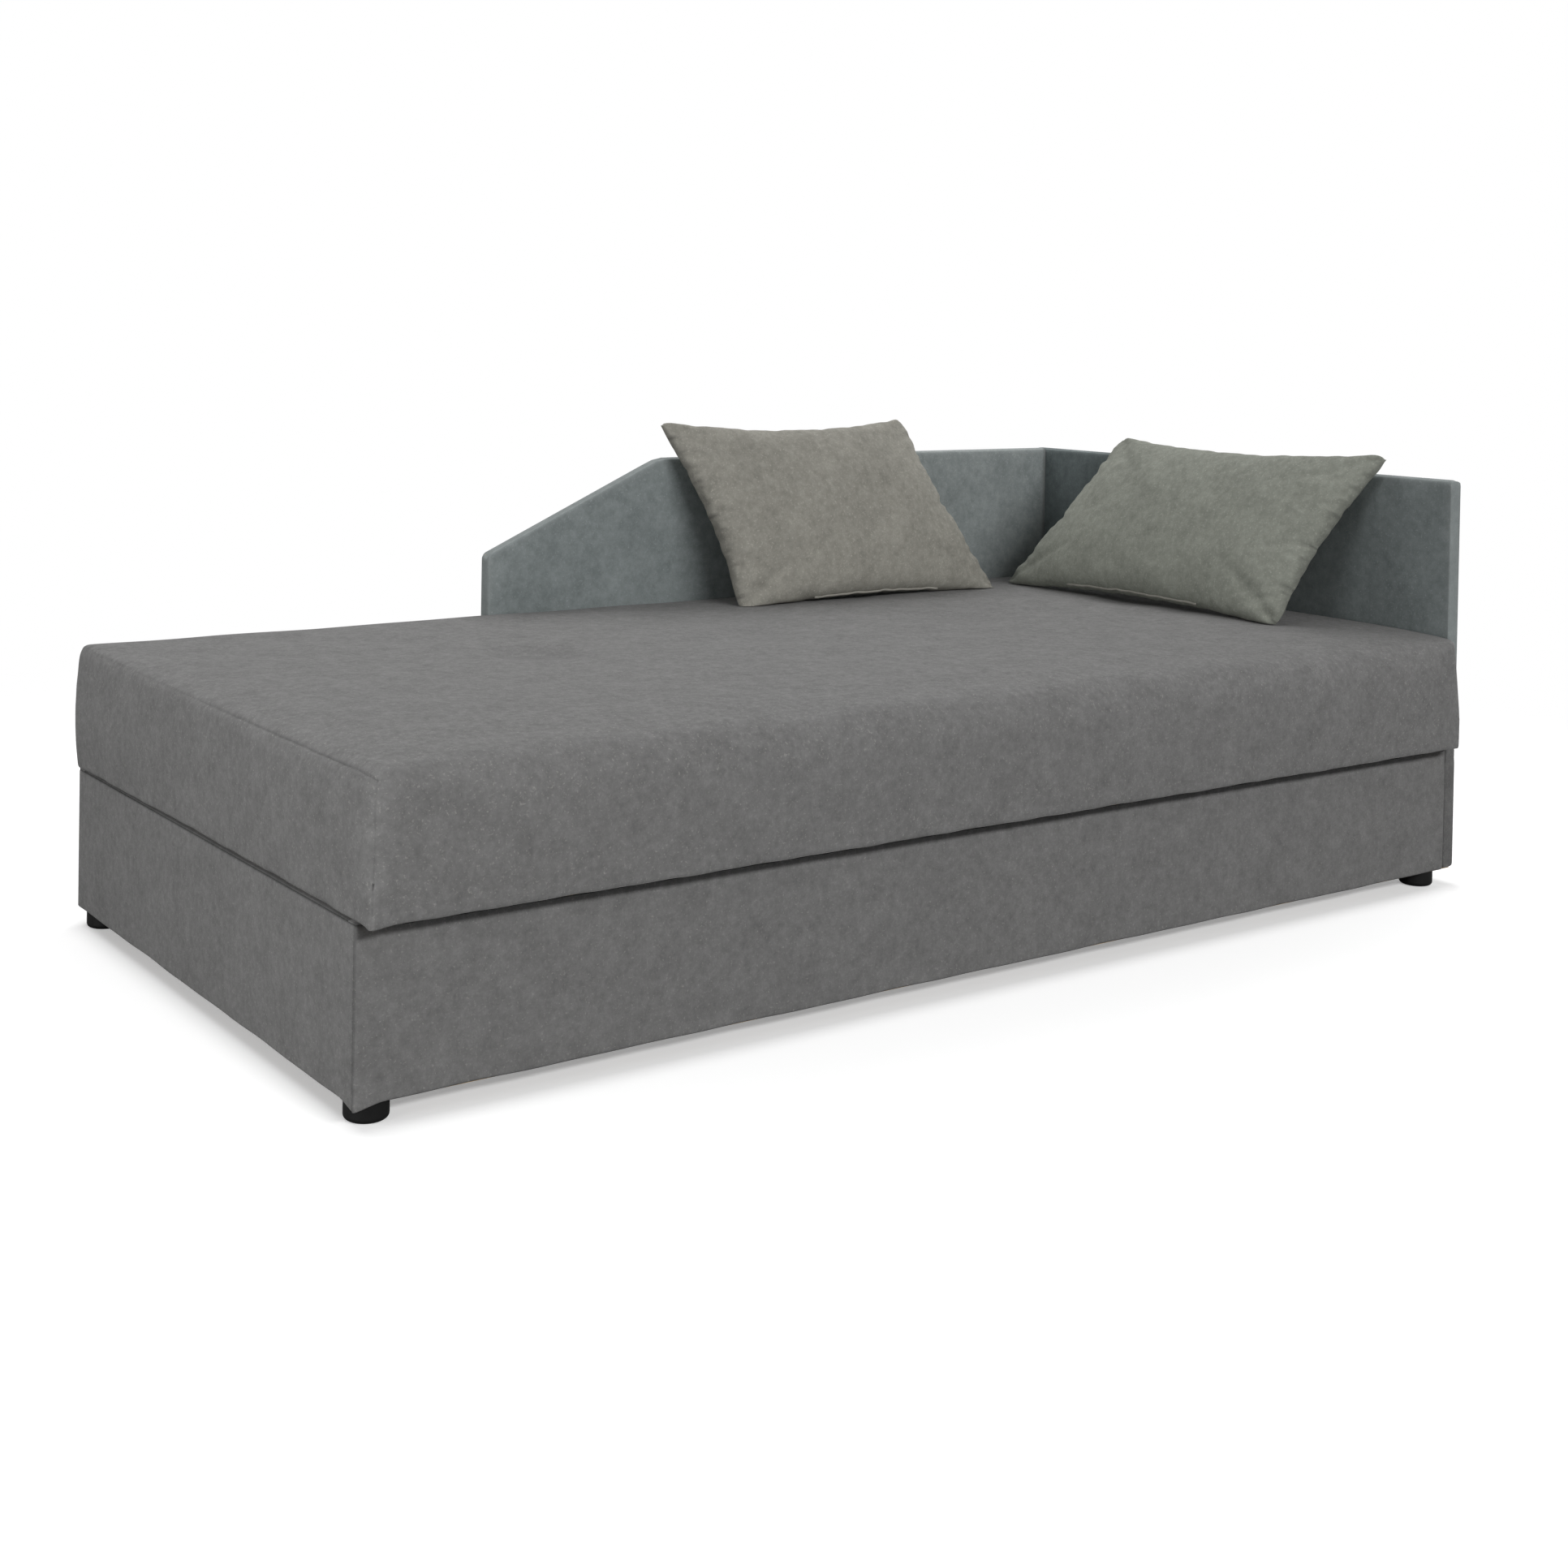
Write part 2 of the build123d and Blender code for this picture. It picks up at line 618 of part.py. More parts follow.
# Frame of the lying surface
rail_z = (rail_bottom, rail_top)
side_rails = {
    "lid_front_rail": (frame_front_y, frame_front_y + rail_thickness),
    "lid_rear_rail": (frame_rear_y - rail_thickness, frame_rear_y),
}
for label, rail_y in side_rails.items():
    with BuildPart() as side_rail:
        span((frame_foot_x, frame_head_x), rail_y, rail_z)
        corner_edges = side_rail.edges().filter_by(Axis.Z).sort_by(lambda e: abs(e.center().Y))[-2:]
        fillet(corner_edges, radius=mattress_edge_radius - frame_inset)
    keep(side_rail, label)

between_rails_y = (frame_front_y + rail_thickness, frame_rear_y - rail_thickness)
end_rails = {
    "foot": (frame_foot_x, frame_foot_x + rail_thickness),
    "head": (frame_head_x - rail_thickness, frame_head_x),
}
for end, rail_x in end_rails.items():
    inward, wall_x, bracket_x = ends[end]
    with BuildPart() as end_rail:
        span(rail_x, between_rails_y, rail_z)
        pilot_x = (bracket_x - inward * screw_length, bracket_x)
        for y in bracket_screw_ys:
            rod_x(screw_radius, pilot_x, y, bracket_screw_z, Mode.SUBTRACT)
    keep(end_rail, f"lid_{end}_rail")

cross_rail_xs = spread(frame_foot_x, frame_head_x, cross_rail_count + 2)[1:-1]
with BuildPart() as lid_cross_rails:
    for x in cross_rail_xs:
        span((x - cross_rail_width / 2, x + cross_rail_width / 2), between_rails_y, rail_z)
keep(lid_cross_rails, "lid_cross_rails")

lining_inset = frame_inset + rail_thickness + bracket_thickness + lining_margin
with BuildPart() as lid_lining:
    span(
        (foot_x + lining_inset, mattress_head_x - lining_inset),
        (frame_front_y, frame_rear_y),
        (lid_bottom, rail_bottom),
    )
keep(lid_lining, "lid_lining")

tuft_xs = spread(foot_x + tuft_foot_inset, head_x - tuft_head_inset, tuft_count)
tuft_places = [(x, box_front_y + tuft_row) for x in tuft_xs]
with BuildPart() as lid_deck:
    span((frame_foot_x, frame_head_x), (frame_front_y, frame_rear_y), (rail_top, deck_top))
    fillet(lid_deck.edges().filter_by(Axis.Z), radius=mattress_edge_radius - frame_inset)
    for x, y in tuft_places:
        rod_z(tie_radius + tie_ease, x, y, (rail_top, deck_top), Mode.SUBTRACT)
keep(lid_deck, "lid_deck")

with BuildPart() as lid_buffers:
    for x in cross_rail_xs:
        rod_z(buffer_radius, x, (board_front_y + inner_front_y) / 2, (box_top, lid_bottom - buffer_ease))
keep(lid_buffers, "lid_buffers")


# Mattress: foam core under a crowned cover that is open below
def crown_block(inset, bottom):
    """Mattress block with a crowned top and rounded edges, set in from the outer cover."""
    y_low, y_high = mattress_front_y + inset, mattress_rear_y - inset
    edge_top = mattress_top - inset
    with BuildPart() as block:
        with BuildSketch(Plane.YZ.offset(foot_x + inset)):
            with BuildLine():
                Polyline((y_low, edge_top), (y_low, bottom), (y_high, bottom), (y_high, edge_top))
                ThreePointArc(
                    (y_high, edge_top),
                    ((y_low + y_high) / 2, edge_top + mattress_crown),
                    (y_low, edge_top),
                )
            make_face()
        extrude(amount=mattress_head_x - foot_x - 2 * inset)
        upper_edges = block.edges().filter_by(lambda e: e.center().Z > bottom + overcut)
        fillet(upper_edges, radius=mattress_edge_radius - inset)
    return block.part


mattress_outer = crown_block(0.0, lid_bottom)
mattress_cavity = crown_block(mattress_cover_wall, lid_bottom)
core_blank = crown_block(mattress_cover_wall, deck_top)
tie_top = mattress_top - mattress_cover_wall

with BuildPart() as mattress_cover:
    add(mattress_outer)
    add(mattress_cavity, mode=Mode.SUBTRACT)
keep(mattress_cover, "mattress_cover")

with BuildPart() as mattress_core:
    add(core_blank)
    for x, y in tuft_places:
        rod_z(tie_radius + tie_ease, x, y, (deck_top, mattress_top + mattress_crown), Mode.SUBTRACT)
keep(mattress_core, "mattress_core")

with BuildPart() as tuft_ties:
    for x, y in tuft_places:
        rod_z(tie_radius, x, y, (rail_top, tie_top))
keep(tuft_ties, "tuft_ties")


# Loose cushions
def crown_height(y):
    """Height of the mattress top at a place across the depth."""
    middle = (mattress_front_y + mattress_rear_y) / 2
    share = (y - middle) / (mattress_rear_y - middle)
    return mattress_top + mattress_crown * (1 - share * share)


def cushion_solid(plane, widths, height, slip, inset):
    """Pillow-like solid around a slanted four-cornered seam, set in from the outer cover."""
    low, high = widths[0] / 2 - inset, widths[1] / 2 - inset
    seam = ((-low, inset), (low, inset), (slip + high, height - inset), (slip - high, height - inset))
    centre = (slip / 2, height / 2)
    wall = inset * cushion_cover_wall / cushion_seam_allowance
    back, front = wall - cushion_back_bulge, cushion_front_bulge - wall
    levels = (
        (back, cushion_face_scale),
        (back * cushion_shoulder, cushion_shoulder_scale),
        (0, 1),
        (front * cushion_shoulder, cushion_shoulder_scale),
        (front, cushion_face_scale),
    )
    with BuildPart() as pillow:
        for level, scale_to in levels:
            corners = [tuple(c + (p - c) * scale_to for p, c in zip(point, centre)) for point in seam]
            with BuildSketch(plane.offset(level)):
                Polygon(*corners, align=None)
        loft(ruled=True)
    return pillow.part


back_lean = radians(back_cushion_lean)
head_lean = radians(head_cushion_lean)
back_seat_y = box_rear_y - back_cushion_setback[1]
back_cushion_plane = Plane(
    origin=(
        head_x - back_cushion_setback[0],
        back_seat_y,
        crown_height(back_seat_y) + cushion_rest_ease,
    ),
    x_dir=(1, 0, 0),
    z_dir=(0, -cos(back_lean), sin(back_lean)),
)
head_cushion_plane = Plane(
    origin=(
        head_x - head_cushion_setback[0],
        box_rear_y - head_cushion_setback[1],
        mattress_top + mattress_crown + cushion_rest_ease,
    ),
    x_dir=(0, -1, 0),
    z_dir=(-cos(head_lean), 0, sin(head_lean)),
)
cushions = {
    "back_cushion": (back_cushion_plane, back_cushion_widths, back_cushion_height, back_cushion_slip),
    "head_cushion": (head_cushion_plane, head_cushion_widths, head_cushion_height, head_cushion_slip),
}
for label, (plane, widths, height, slip) in cushions.items():
    outer = cushion_solid(plane, widths, height, slip, 0.0)
    stuffing = cushion_solid(plane, widths, height, slip, cushion_seam_allowance)
    zip_place = plane * Location((0, zip_inset + zip_width / 2, 0))
    with BuildPart() as cushion_filling:
        add(stuffing)
    keep(cushion_filling, f"{label}_filling")

    with BuildPart() as cushion_zip:
        with Locations(zip_place):
            Box(zip_length, zip_width, zip_thickness)
    keep(cushion_zip, f"{label}_zip")

    with BuildPart() as cushion_cover:
        add(outer)
        add(stuffing, mode=Mode.SUBTRACT)
        with Locations(zip_place):
            Box(zip_length, zip_width, zip_thickness, mode=Mode.SUBTRACT)
    keep(cushion_cover, f"{label}_cover")
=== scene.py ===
import math

import bpy
import numpy as np
from mathutils import Matrix, Vector


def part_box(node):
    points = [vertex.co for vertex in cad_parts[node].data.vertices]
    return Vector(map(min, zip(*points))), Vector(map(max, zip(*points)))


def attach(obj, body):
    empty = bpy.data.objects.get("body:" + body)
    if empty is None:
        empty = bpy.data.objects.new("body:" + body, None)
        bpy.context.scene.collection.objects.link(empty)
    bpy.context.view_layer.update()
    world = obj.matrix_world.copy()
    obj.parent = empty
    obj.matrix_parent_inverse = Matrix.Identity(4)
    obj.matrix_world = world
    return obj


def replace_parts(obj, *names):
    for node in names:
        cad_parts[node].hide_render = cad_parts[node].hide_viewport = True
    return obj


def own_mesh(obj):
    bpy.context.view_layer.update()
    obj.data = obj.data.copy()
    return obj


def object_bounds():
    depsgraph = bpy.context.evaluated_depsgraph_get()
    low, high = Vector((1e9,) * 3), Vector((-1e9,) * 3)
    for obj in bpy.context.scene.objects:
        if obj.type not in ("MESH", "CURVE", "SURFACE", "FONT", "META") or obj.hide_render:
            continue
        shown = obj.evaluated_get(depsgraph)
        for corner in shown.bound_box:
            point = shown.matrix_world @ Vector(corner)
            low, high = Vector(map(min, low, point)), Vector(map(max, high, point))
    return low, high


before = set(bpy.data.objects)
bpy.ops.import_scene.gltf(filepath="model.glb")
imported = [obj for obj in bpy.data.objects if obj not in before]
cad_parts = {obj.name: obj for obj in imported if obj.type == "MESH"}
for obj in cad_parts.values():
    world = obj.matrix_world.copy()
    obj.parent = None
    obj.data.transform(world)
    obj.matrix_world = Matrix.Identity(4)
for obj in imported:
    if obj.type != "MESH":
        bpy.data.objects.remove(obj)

cad_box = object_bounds()
scene = bpy.context.scene


def corners(node):
    """Low and high corner of a CAD node's box, as arrays."""
    low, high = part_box(node)
    return np.array(low, float), np.array(high, float)


# Places of the CAD nodes that the pieces are fitted to, in metres
foot_end = cad_box[0][0]
mattress_low, mattress_high = corners("mattress_cover")
deck_top = corners("lid_deck")[1][2]
tie_low, tie_high = corners("tuft_ties")
cover_front = corners("box_front_cover")[0][1]
box_top = corners("box_front_cover")[1][2]
panel_face_x = corners("head_panel_cover")[0][0]
panel_face_y = corners("back_panel_cover")[0][1]

# Mattress
crown_fall = 0.012
edge_top = mattress_high[2] - crown_fall
block_high = np.array([*mattress_high[:2], edge_top])
top_rise = 0.0105
rear_radius, front_radius, head_radius = 0.016, 0.040, 0.006
foot_radius_rear, foot_radius_front = 0.011, 0.030
hem_radius, least_radius = 0.005, 0.003
corner_turn_low, corner_turn_high = 0.015, 0.042
lip_width = 0.0046
seam_width, seam_depth = 0.0022, 0.0014
ridge_height, pucker_height, wave_height = 0.0006, 0.0010, 0.0012
foam_inset = 0.010

# Tufts, counted from the foot end
tie_radius = 0.0015
tuft_share = np.array([1.0, 0.45, 0.5, 0.3])
tuft_xs = np.linspace(tie_low[0] + tie_radius, tie_high[0] - tie_radius, len(tuft_share))
tuft_y = (tie_low[1] + tie_high[1]) / 2
tuft_reach, tuft_depth, pit_reach = 0.088, 0.0132, 0.018

# Covers of box and panels
corner_tip = 0.0065
fold_drop, fold_cloth = 0.028, 0.0013
panel_radius, joint_radius = 0.007, 0.003
slope_low, slope_run, end_round, slope_blend = 0.526, 0.348, 0.0115, 0.0024

# Cushions
cushion_step = 0.0072
tip_round = 0.032
front_bulge, rear_bulge = 0.062, 0.032
panel_ease, mattress_ease = 0.0018, 0.0012

# Springs
eye_inset, eye_radius, spring_hook = 0.0073, 0.0058, 0.026
spring_wire, spring_radius, spring_turns = 0.0014, 0.0075, 52


# Shapes as arrays

def smooth_step(low, high, value):
    """0 at low and 1 at high, with an even S curve between them; low may be above high."""
    share = np.clip((value - low) / (high - low), 0, 1)
    return share * share * (3 - 2 * share)


def between(first, second, share):
    """First at a share of 0 and second at a share of 1, in a straight line between them."""
    return first + (second - first) * share


def bell(gap, width):
    """1 where there is no gap, falling on both sides as a bell curve of the given width."""
    return np.exp(-(gap / width) ** 2)


def ripple(along, lengths, seed):
    """Uneven wave from about -1 to 1: sines of the given lengths, each with a fixed start, added up
    and divided by the root of their number."""
    starts = np.random.default_rng(seed).uniform(0, 2 * np.pi, len(lengths))
    waves = [np.sin(2 * np.pi * along / length + start) for length, start in zip(lengths, starts)]
    return np.sum(waves, axis=0) / math.sqrt(len(lengths))


def axis_lines(low, high, step, low_step=None, high_step=None, growth=1.35):
    """Grid lines from low to high: gaps grow from the end steps by one factor up to the step."""
    def ramp(first):
        if first is None or first >= step:
            return np.zeros(0)
        count = math.ceil(math.log(step / first) / math.log(growth))
        return first * growth ** np.arange(count)
    start, end = ramp(low_step), ramp(high_step)
    middle = high - low - start.sum() - end.sum()
    count = max(1, round(middle / step))
    gaps = np.concatenate([start, np.full(count, middle / count), end[::-1]])
    return low + np.concatenate([[0.0], np.cumsum(gaps)])


def cells(sheet, flip=False):
    """Quads of a grid of point numbers, turned over where flip is set."""
    quads = np.stack([sheet[:-1, :-1], sheet[1:, :-1], sheet[1:, 1:], sheet[:-1, 1:]], -1)
    return quads.reshape(-1, 4)[:, ::-1 if flip else 1]


def sleeve(number):
    """Wall and end faces of a closed tube from rows of point numbers, each row a ring."""
    wall = cells(np.concatenate([number, number[:, :1]], axis=1))
    return [wall, number[:1], number[-1:, ::-1]]


def box_grid(xs, ys, zs, floor=True):
    """Points and outward quads of a box on a lattice of lines, and the lattice of point numbers."""
    counts = (len(xs), len(ys), len(zs))
    shell = np.zeros(counts, bool)
    shell[[0, -1]] = shell[:, [0, -1]] = shell[:, :, -1] = True
    shell[:, :, 0] |= floor
    number = np.where(shell, np.cumsum(shell).reshape(counts) - 1, -1)
    points = np.stack(np.meshgrid(xs, ys, zs, indexing="ij"), -1)[shell]
    sheets = [(number[0], True), (number[-1], False), (number[:, 0], False), (number[:, -1], True),
              (number[:, :, -1], False)]
    if floor:
        sheets.append((number[:, :, 0], True))
    return points, np.concatenate([cells(*sheet) for sheet in sheets]), number


def block_grid(low, high, steps, floor=True):
    """Box grid between two corners, with a step, or a step and two end steps, for each axis."""
    lines = [axis_lines(start, end, *step) for start, end, step in zip(low, high, steps)]
    return box_grid(*lines, floor)


def round_edges(points, low, high, radius, axes=(0, 1, 2)):
    """Box points moved onto its rounded form: each lies one radius from its nearest point of the
    box shrunk by that radius; edges along an axis that is left out stay sharp."""
    inner = points.copy()
    inner[:, axes] = np.clip(points, low + radius, high - radius)[:, axes]
    away = points - inner
    length = np.linalg.norm(away, axis=1, keepdims=True)
    return inner + np.where(length > 1e-9, radius * away / np.maximum(length, 1e-9), 0)


def corner_draw(away):
    """How far points move in for a square corner to become a quarter disc: each keeps its larger
    distance from the disc's centre as its whole distance."""
    length = np.maximum(np.linalg.norm(away, axis=1), 1e-9)
    share = np.where((away > 0).all(axis=1), away.max(axis=1) / length, 1)
    return away * (1 - share)[:, None]


def round_plan(points, corner, outward, radius, axes=(0, 1)):
    """Points near an edge along the third axis drawn in, so that the corner's square of one radius
    becomes a quarter disc."""
    axes, outward = list(axes), np.array(outward, float)
    centre = corner - outward * np.reshape(radius, (-1, 1))
    away = np.maximum((points[:, axes] - centre) * outward, 0)
    moved = points.copy()
    moved[:, axes] -= outward * corner_draw(away)
    return moved


def tube(path, across, thick, wide, sides):
    """Closed tube along a path: an oval section, thick along one direction and wide across it."""
    forward = np.gradient(path, axis=0)
    forward /= np.linalg.norm(forward, axis=1, keepdims=True)
    first = across - forward * np.sum(across * forward, axis=1, keepdims=True)
    first /= np.linalg.norm(first, axis=1, keepdims=True)
    second = np.cross(forward, first)
    turn = np.linspace(0, 2 * np.pi, sides, endpoint=False)[None, :, None]
    ring = thick * np.cos(turn) * first[:, None] + wide * np.sin(turn) * second[:, None]
    points = (path[:, None] + ring).reshape(-1, 3)
    return points, sleeve(np.arange(len(points)).reshape(len(path), sides))


# Pieces from arrays

def new_piece(name, points, faces, body, finish):
    """Mesh object from points and arrays of faces, riding on a body, with a finish as its slot."""
    counts = np.concatenate([np.full(len(f), f.shape[1]) for f in faces])
    corner = np.concatenate([f.ravel() for f in faces])
    starts = np.concatenate([[0], np.cumsum(counts)[:-1]])
    mesh = bpy.data.meshes.new(name)
    mesh.vertices.add(len(points))
    mesh.loops.add(len(corner))
    mesh.loops.foreach_set("vertex_index", corner.astype(np.int32))
    mesh.polygons.add(len(counts))
    mesh.polygons.foreach_set("loop_start", starts.astype(np.int32))
    mesh.polygons.foreach_set("use_smooth", np.ones(len(counts), bool))
    set_points(mesh, points)
    mesh.update(calc_edges=True)
    mesh.materials.append(finishes[finish])
    piece = bpy.data.objects.new(name, mesh)
    scene.collection.objects.link(piece)
    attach(piece, body)
    return piece


def read_field(items, field):
    """Three numbers of each of a mesh's items, as an array."""
    values = np.empty(3 * len(items), np.float32)
    items.foreach_get(field, values)
    return values.reshape(-1, 3).astype(float)


def get_points(mesh):
    """Places of a mesh's points as an array."""
    return read_field(mesh.vertices, "co")


def set_points(mesh, points):
    """Move a mesh's points to the given places."""
    mesh.vertices.foreach_set("co", np.asarray(points, np.float32).ravel())
    mesh.update()


def note(mesh, name, values):
    """Store a number or a place for each point of a mesh as an attribute."""
    values = np.asarray(values, np.float32)
    kind, field = ("FLOAT", "value") if values.ndim == 1 else ("FLOAT_VECTOR", "vector")
    mesh.attributes.new(name, kind, "POINT").data.foreach_set(field, values.ravel())


def current_mesh(piece):
    """The piece's mesh with its modifiers applied, as a new mesh."""
    graph = bpy.context.evaluated_depsgraph_get()
    return bpy.data.meshes.new_from_object(piece.evaluated_get(graph), depsgraph=graph,
                                           preserve_all_data_layers=True)


def refine(piece):
    """Apply one subdivision to the piece's mesh, and give the mesh."""
    soften = piece.modifiers.new("soften", "SUBSURF")
    soften.levels = soften.render_levels = 1
    piece.data = current_mesh(piece)
    piece.modifiers.remove(soften)
    return piece.data


def inflate(piece, held, pressure, reach, frames=20):
    """Blow a closed piece up as cloth without gravity: held points stay, and the others go at most
    one reach, as the hyperbolic tangent of their way over the reach."""
    start = get_points(piece.data)
    piece.vertex_groups.new(name="held").add(np.flatnonzero(held).tolist(), 1.0, "REPLACE")
    cloth = piece.modifiers.new("cloth", "CLOTH")
    cloth.settings.quality = 5
    cloth.settings.mass = 0.12
    cloth.settings.tension_stiffness = cloth.settings.compression_stiffness = 12
    cloth.settings.shear_stiffness = 5
    cloth.settings.bending_stiffness = 0.3
    cloth.settings.effector_weights.gravity = 0
    cloth.settings.vertex_group_mass = "held"
    cloth.settings.use_pressure = True
    cloth.settings.uniform_pressure_force = pressure
    cloth.point_cache.frame_start, cloth.point_cache.frame_end = 1, frames
    for step in range(1, frames + 1):
        scene.frame_set(step)
    ended = get_points(current_mesh(piece))
    piece.modifiers.remove(cloth)
    piece.vertex_groups.clear()
    scene.frame_set(1)
    move = ended - start
    length = np.maximum(np.linalg.norm(move, axis=1, keepdims=True), 1e-9)
    return start + move * reach * np.tanh(length / reach) / length


# Finishes

class Tree:
    """Adds nodes to a node tree; an input is a socket, which is linked, or a plain value, and for a
    colour linear red, green and blue or one grey."""

    def __init__(self, tree):
        self.nodes, self.links = tree.nodes, tree.links

    def put(self, node, inputs):
        for key, value in inputs.items():
            socket = node.inputs[key]
            if isinstance(value, bpy.types.NodeSocket):
                self.links.new(value, socket)
            elif socket.type == "RGBA":
                socket.default_value = (*np.broadcast_to(value, 3), 1.0)
            else:
                socket.default_value = value

    def add(self, kind, inputs=(), **settings):
        node = self.nodes.new("ShaderNode" + kind)
        for name, value in settings.items():
            setattr(node, name, value)
        self.put(node, dict(inputs))
        return node

    def math(self, operation, first, second):
        return self.add("Math", {0: first, 1: second}, operation=operation).outputs[0]

    def vector(self, operation, first, second=(0.0, 0.0, 0.0)):
        return self.add("VectorMath", {0: first, 1: second}, operation=operation).outputs

    def weigh(self, first, first_share, second, second_share):
        return self.math("ADD", self.math("MULTIPLY", first, first_share),
                         self.math("MULTIPLY", second, second_share))

    def mix(self, share, first, second, blend="MIX"):
        return self.add("Mix", {0: share, 6: first, 7: second}, data_type="RGBA",
                        blend_type=blend).outputs[2]

    def tint(self, base, mask, share, tone):
        return self.mix(self.math("MULTIPLY", mask, share), base, tone)

    def spread(self, value, low, high, to_low=0.0, to_high=1.0, ease="LINEAR"):
        return self.add("MapRange", {0: value, 1: low, 2: high, 3: to_low, 4: to_high},
                        interpolation_type=ease).outputs[0]

    def noise(self, place, scale, detail, rough, stretch=None):
        if stretch is not None:
            place = self.add("Mapping", {"Vector": place, "Scale": stretch}).outputs[0]
        return self.add("TexNoise", {"Vector": place, "Scale": scale, "Detail": detail,
                                     "Roughness": rough}).outputs[0]

    def noted(self, name):
        return self.add("Attribute", attribute_name=name).outputs["Fac"]

    def bump(self, height, strength, distance):
        return self.add("Bump", {"Height": height, "Strength": strength,
                                 "Distance": distance}).outputs[0]

    def group(self, name, inputs):
        return self.add("Group", inputs, node_tree=bpy.data.node_groups[name]).outputs


def new_group(name, inputs, build):
    """Node group with number inputs, vector ones where None is given, and the number outputs that
    build returns by name."""
    group = bpy.data.node_groups.new(name, "ShaderNodeTree")
    for key, value in inputs.items():
        kind = "NodeSocketVector" if value is None else "NodeSocketFloat"
        socket = group.interface.new_socket(key, in_out="INPUT", socket_type=kind)
        if value is not None:
            socket.default_value = value
    outputs = build(Tree(group), group.nodes.new("NodeGroupInput").outputs)
    for key in outputs:
        group.interface.new_socket(key, in_out="OUTPUT", socket_type="NodeSocketFloat")
    target = group.nodes.new("NodeGroupOutput")
    for key, socket in outputs.items():
        group.links.new(socket, target.inputs[key])


def build_cloth(tree, given):
    """Worn cloth: mottled patches, light specks and short threads that cross along three axes."""
    place, thread = given["Place"], given["Thread"]
    patches = tree.noise(place, given["Patch"], 6.0, 0.7)
    strokes = [tree.noise(place, thread, 2.0, 0.5, stretch)
               for stretch in ((0.5, 1, 1), (1, 0.5, 1), (1, 1, 0.5))]
    crossed = tree.math("MAXIMUM", tree.math("MAXIMUM", strokes[0], strokes[1]), strokes[2])
    specks = tree.noise(place, tree.math("MULTIPLY", thread, 0.7), 2.0, 0.6)
    return {"Patches": tree.spread(patches, 0.3, 0.7), "Threads": tree.spread(crossed, 0.45, 0.75),
            "Flecks": tree.spread(specks, 0.6, 0.72)}


def build_scuffs(tree, given):
    """Metal wear: fine brushed lines, dull clouds and a few bright scratches."""
    place = given["Place"]
    cuts = tree.noise(place, 90.0, 2.0, 0.4, (1, 0.05, 1))
    return {"Clouds": tree.noise(place, given["Cloud"], 5.0, 0.6),
            "Brushed": tree.noise(place, 260.0, 2.0, 0.5, (1, 0.06, 0.5)),
            "Scratches": tree.spread(cuts, 0.66, 0.72)}


def build_grains(tree, given):
    """Pressed grains: cells of uneven size with a random value each, and fine dust between them."""
    place, size = given["Place"], given["Grain"]
    grain = tree.add("TexVoronoi", {"Vector": place, "Scale": size, "Randomness": 1.0}).outputs
    return {"Grains": tree.add("SeparateColor", {0: grain["Color"]}).outputs[0],
            "Edges": tree.spread(grain["Distance"], 0.0, 0.7),
            "Dust": tree.noise(place, tree.math("MULTIPLY", size, 3.0), 3.0, 0.7)}


new_group("cloth_wear", {"Place": None, "Patch": 60.0, "Thread": 500.0}, build_cloth)
new_group("metal_wear", {"Place": None, "Cloud": 30.0}, build_scuffs)
new_group("pressed_grains", {"Place": None, "Grain": 300.0}, build_grains)


finishes = {}


def new_finish(name):
    """New material among the finishes: its tree, its principled shader and object places."""
    material = finishes[name] = bpy.data.materials.new(name)
    material.use_nodes = True
    tree = Tree(material.node_tree)
    return tree, tree.nodes["Principled BSDF"], tree.add("TexCoord").outputs["Object"]


def cloth_finish(name, dark, light, fleck, patch, thread, sheen, threads=0.3, flecks=0.5, rim=None,
                 shade_and_tint_tone=0.75):
    """Upholstery cloth: small and wide patches between two tones, lighter flecks, darker threads,
    dark seams along with painted shade under hems, in gaps, tufts and creases, a painted highlight
    along rims where a tone is given, and a tone that multiplies the whole: painted shade on the
    panels and their bands, a tint on the head cushion."""
    tree, shader, place = new_finish(name)
    wear = tree.group("cloth_wear", {"Place": place, "Patch": patch, "Thread": thread})
    wide = tree.spread(tree.noise(place, patch * 0.2, 5.0, 0.65), 0.3, 0.7)
    base = tree.mix(tree.weigh(wear["Patches"], 0.62, wide, 0.38), dark, light)
    base = tree.tint(base, wear["Flecks"], flecks, fleck)
    base = tree.tint(base, wear["Threads"], threads, dark)
    # Darkening from the seam attribute: real seams, and also painted shade under hems, in gaps, in
    # tufts, in corners and in creases.
    base = tree.tint(base, tree.noted("seam"), 0.85, 0.012)
    if rim is not None:
        # Painted highlight: the rim attribute lightens the cloth towards its edges, in place of the
        # pile's sheen there.
        base = tree.tint(base, tree.noted("rim"), 0.35, rim)
    # The attribute read here multiplies the colour by its tone: painted shade on the panels and
    # their bands, a tint on the head cushion.
    base = tree.mix(tree.noted("shade_and_tint"), base, shade_and_tint_tone, "MULTIPLY")
    relief = tree.math("ADD", wear["Threads"], tree.math("MULTIPLY", wear["Patches"], 0.8))
    tree.put(shader, {"Base Color": base, "Normal": tree.bump(relief, 0.35, 0.0002),
                      "Roughness": tree.spread(wear["Patches"], 0.0, 1.0, 0.95, 0.8),
                      "Specular IOR Level": 0.25, "Sheen Weight": sheen,
                      "Sheen Roughness": 0.45, "Sheen Tint": light})


def board_finish(name, dark, light, grain, rough):
    """Pressed board: grains between two tones, dusty, slightly raised."""
    tree, shader, place = new_finish(name)
    wear = tree.group("pressed_grains", {"Place": place, "Grain": grain})
    base = tree.tint(tree.mix(wear["Grains"], dark, light), wear["Dust"], 0.5, light)
    tree.put(shader, {"Base Color": base, "Roughness": rough,
                      "Normal": tree.bump(wear["Edges"], 0.2, 0.0004)})


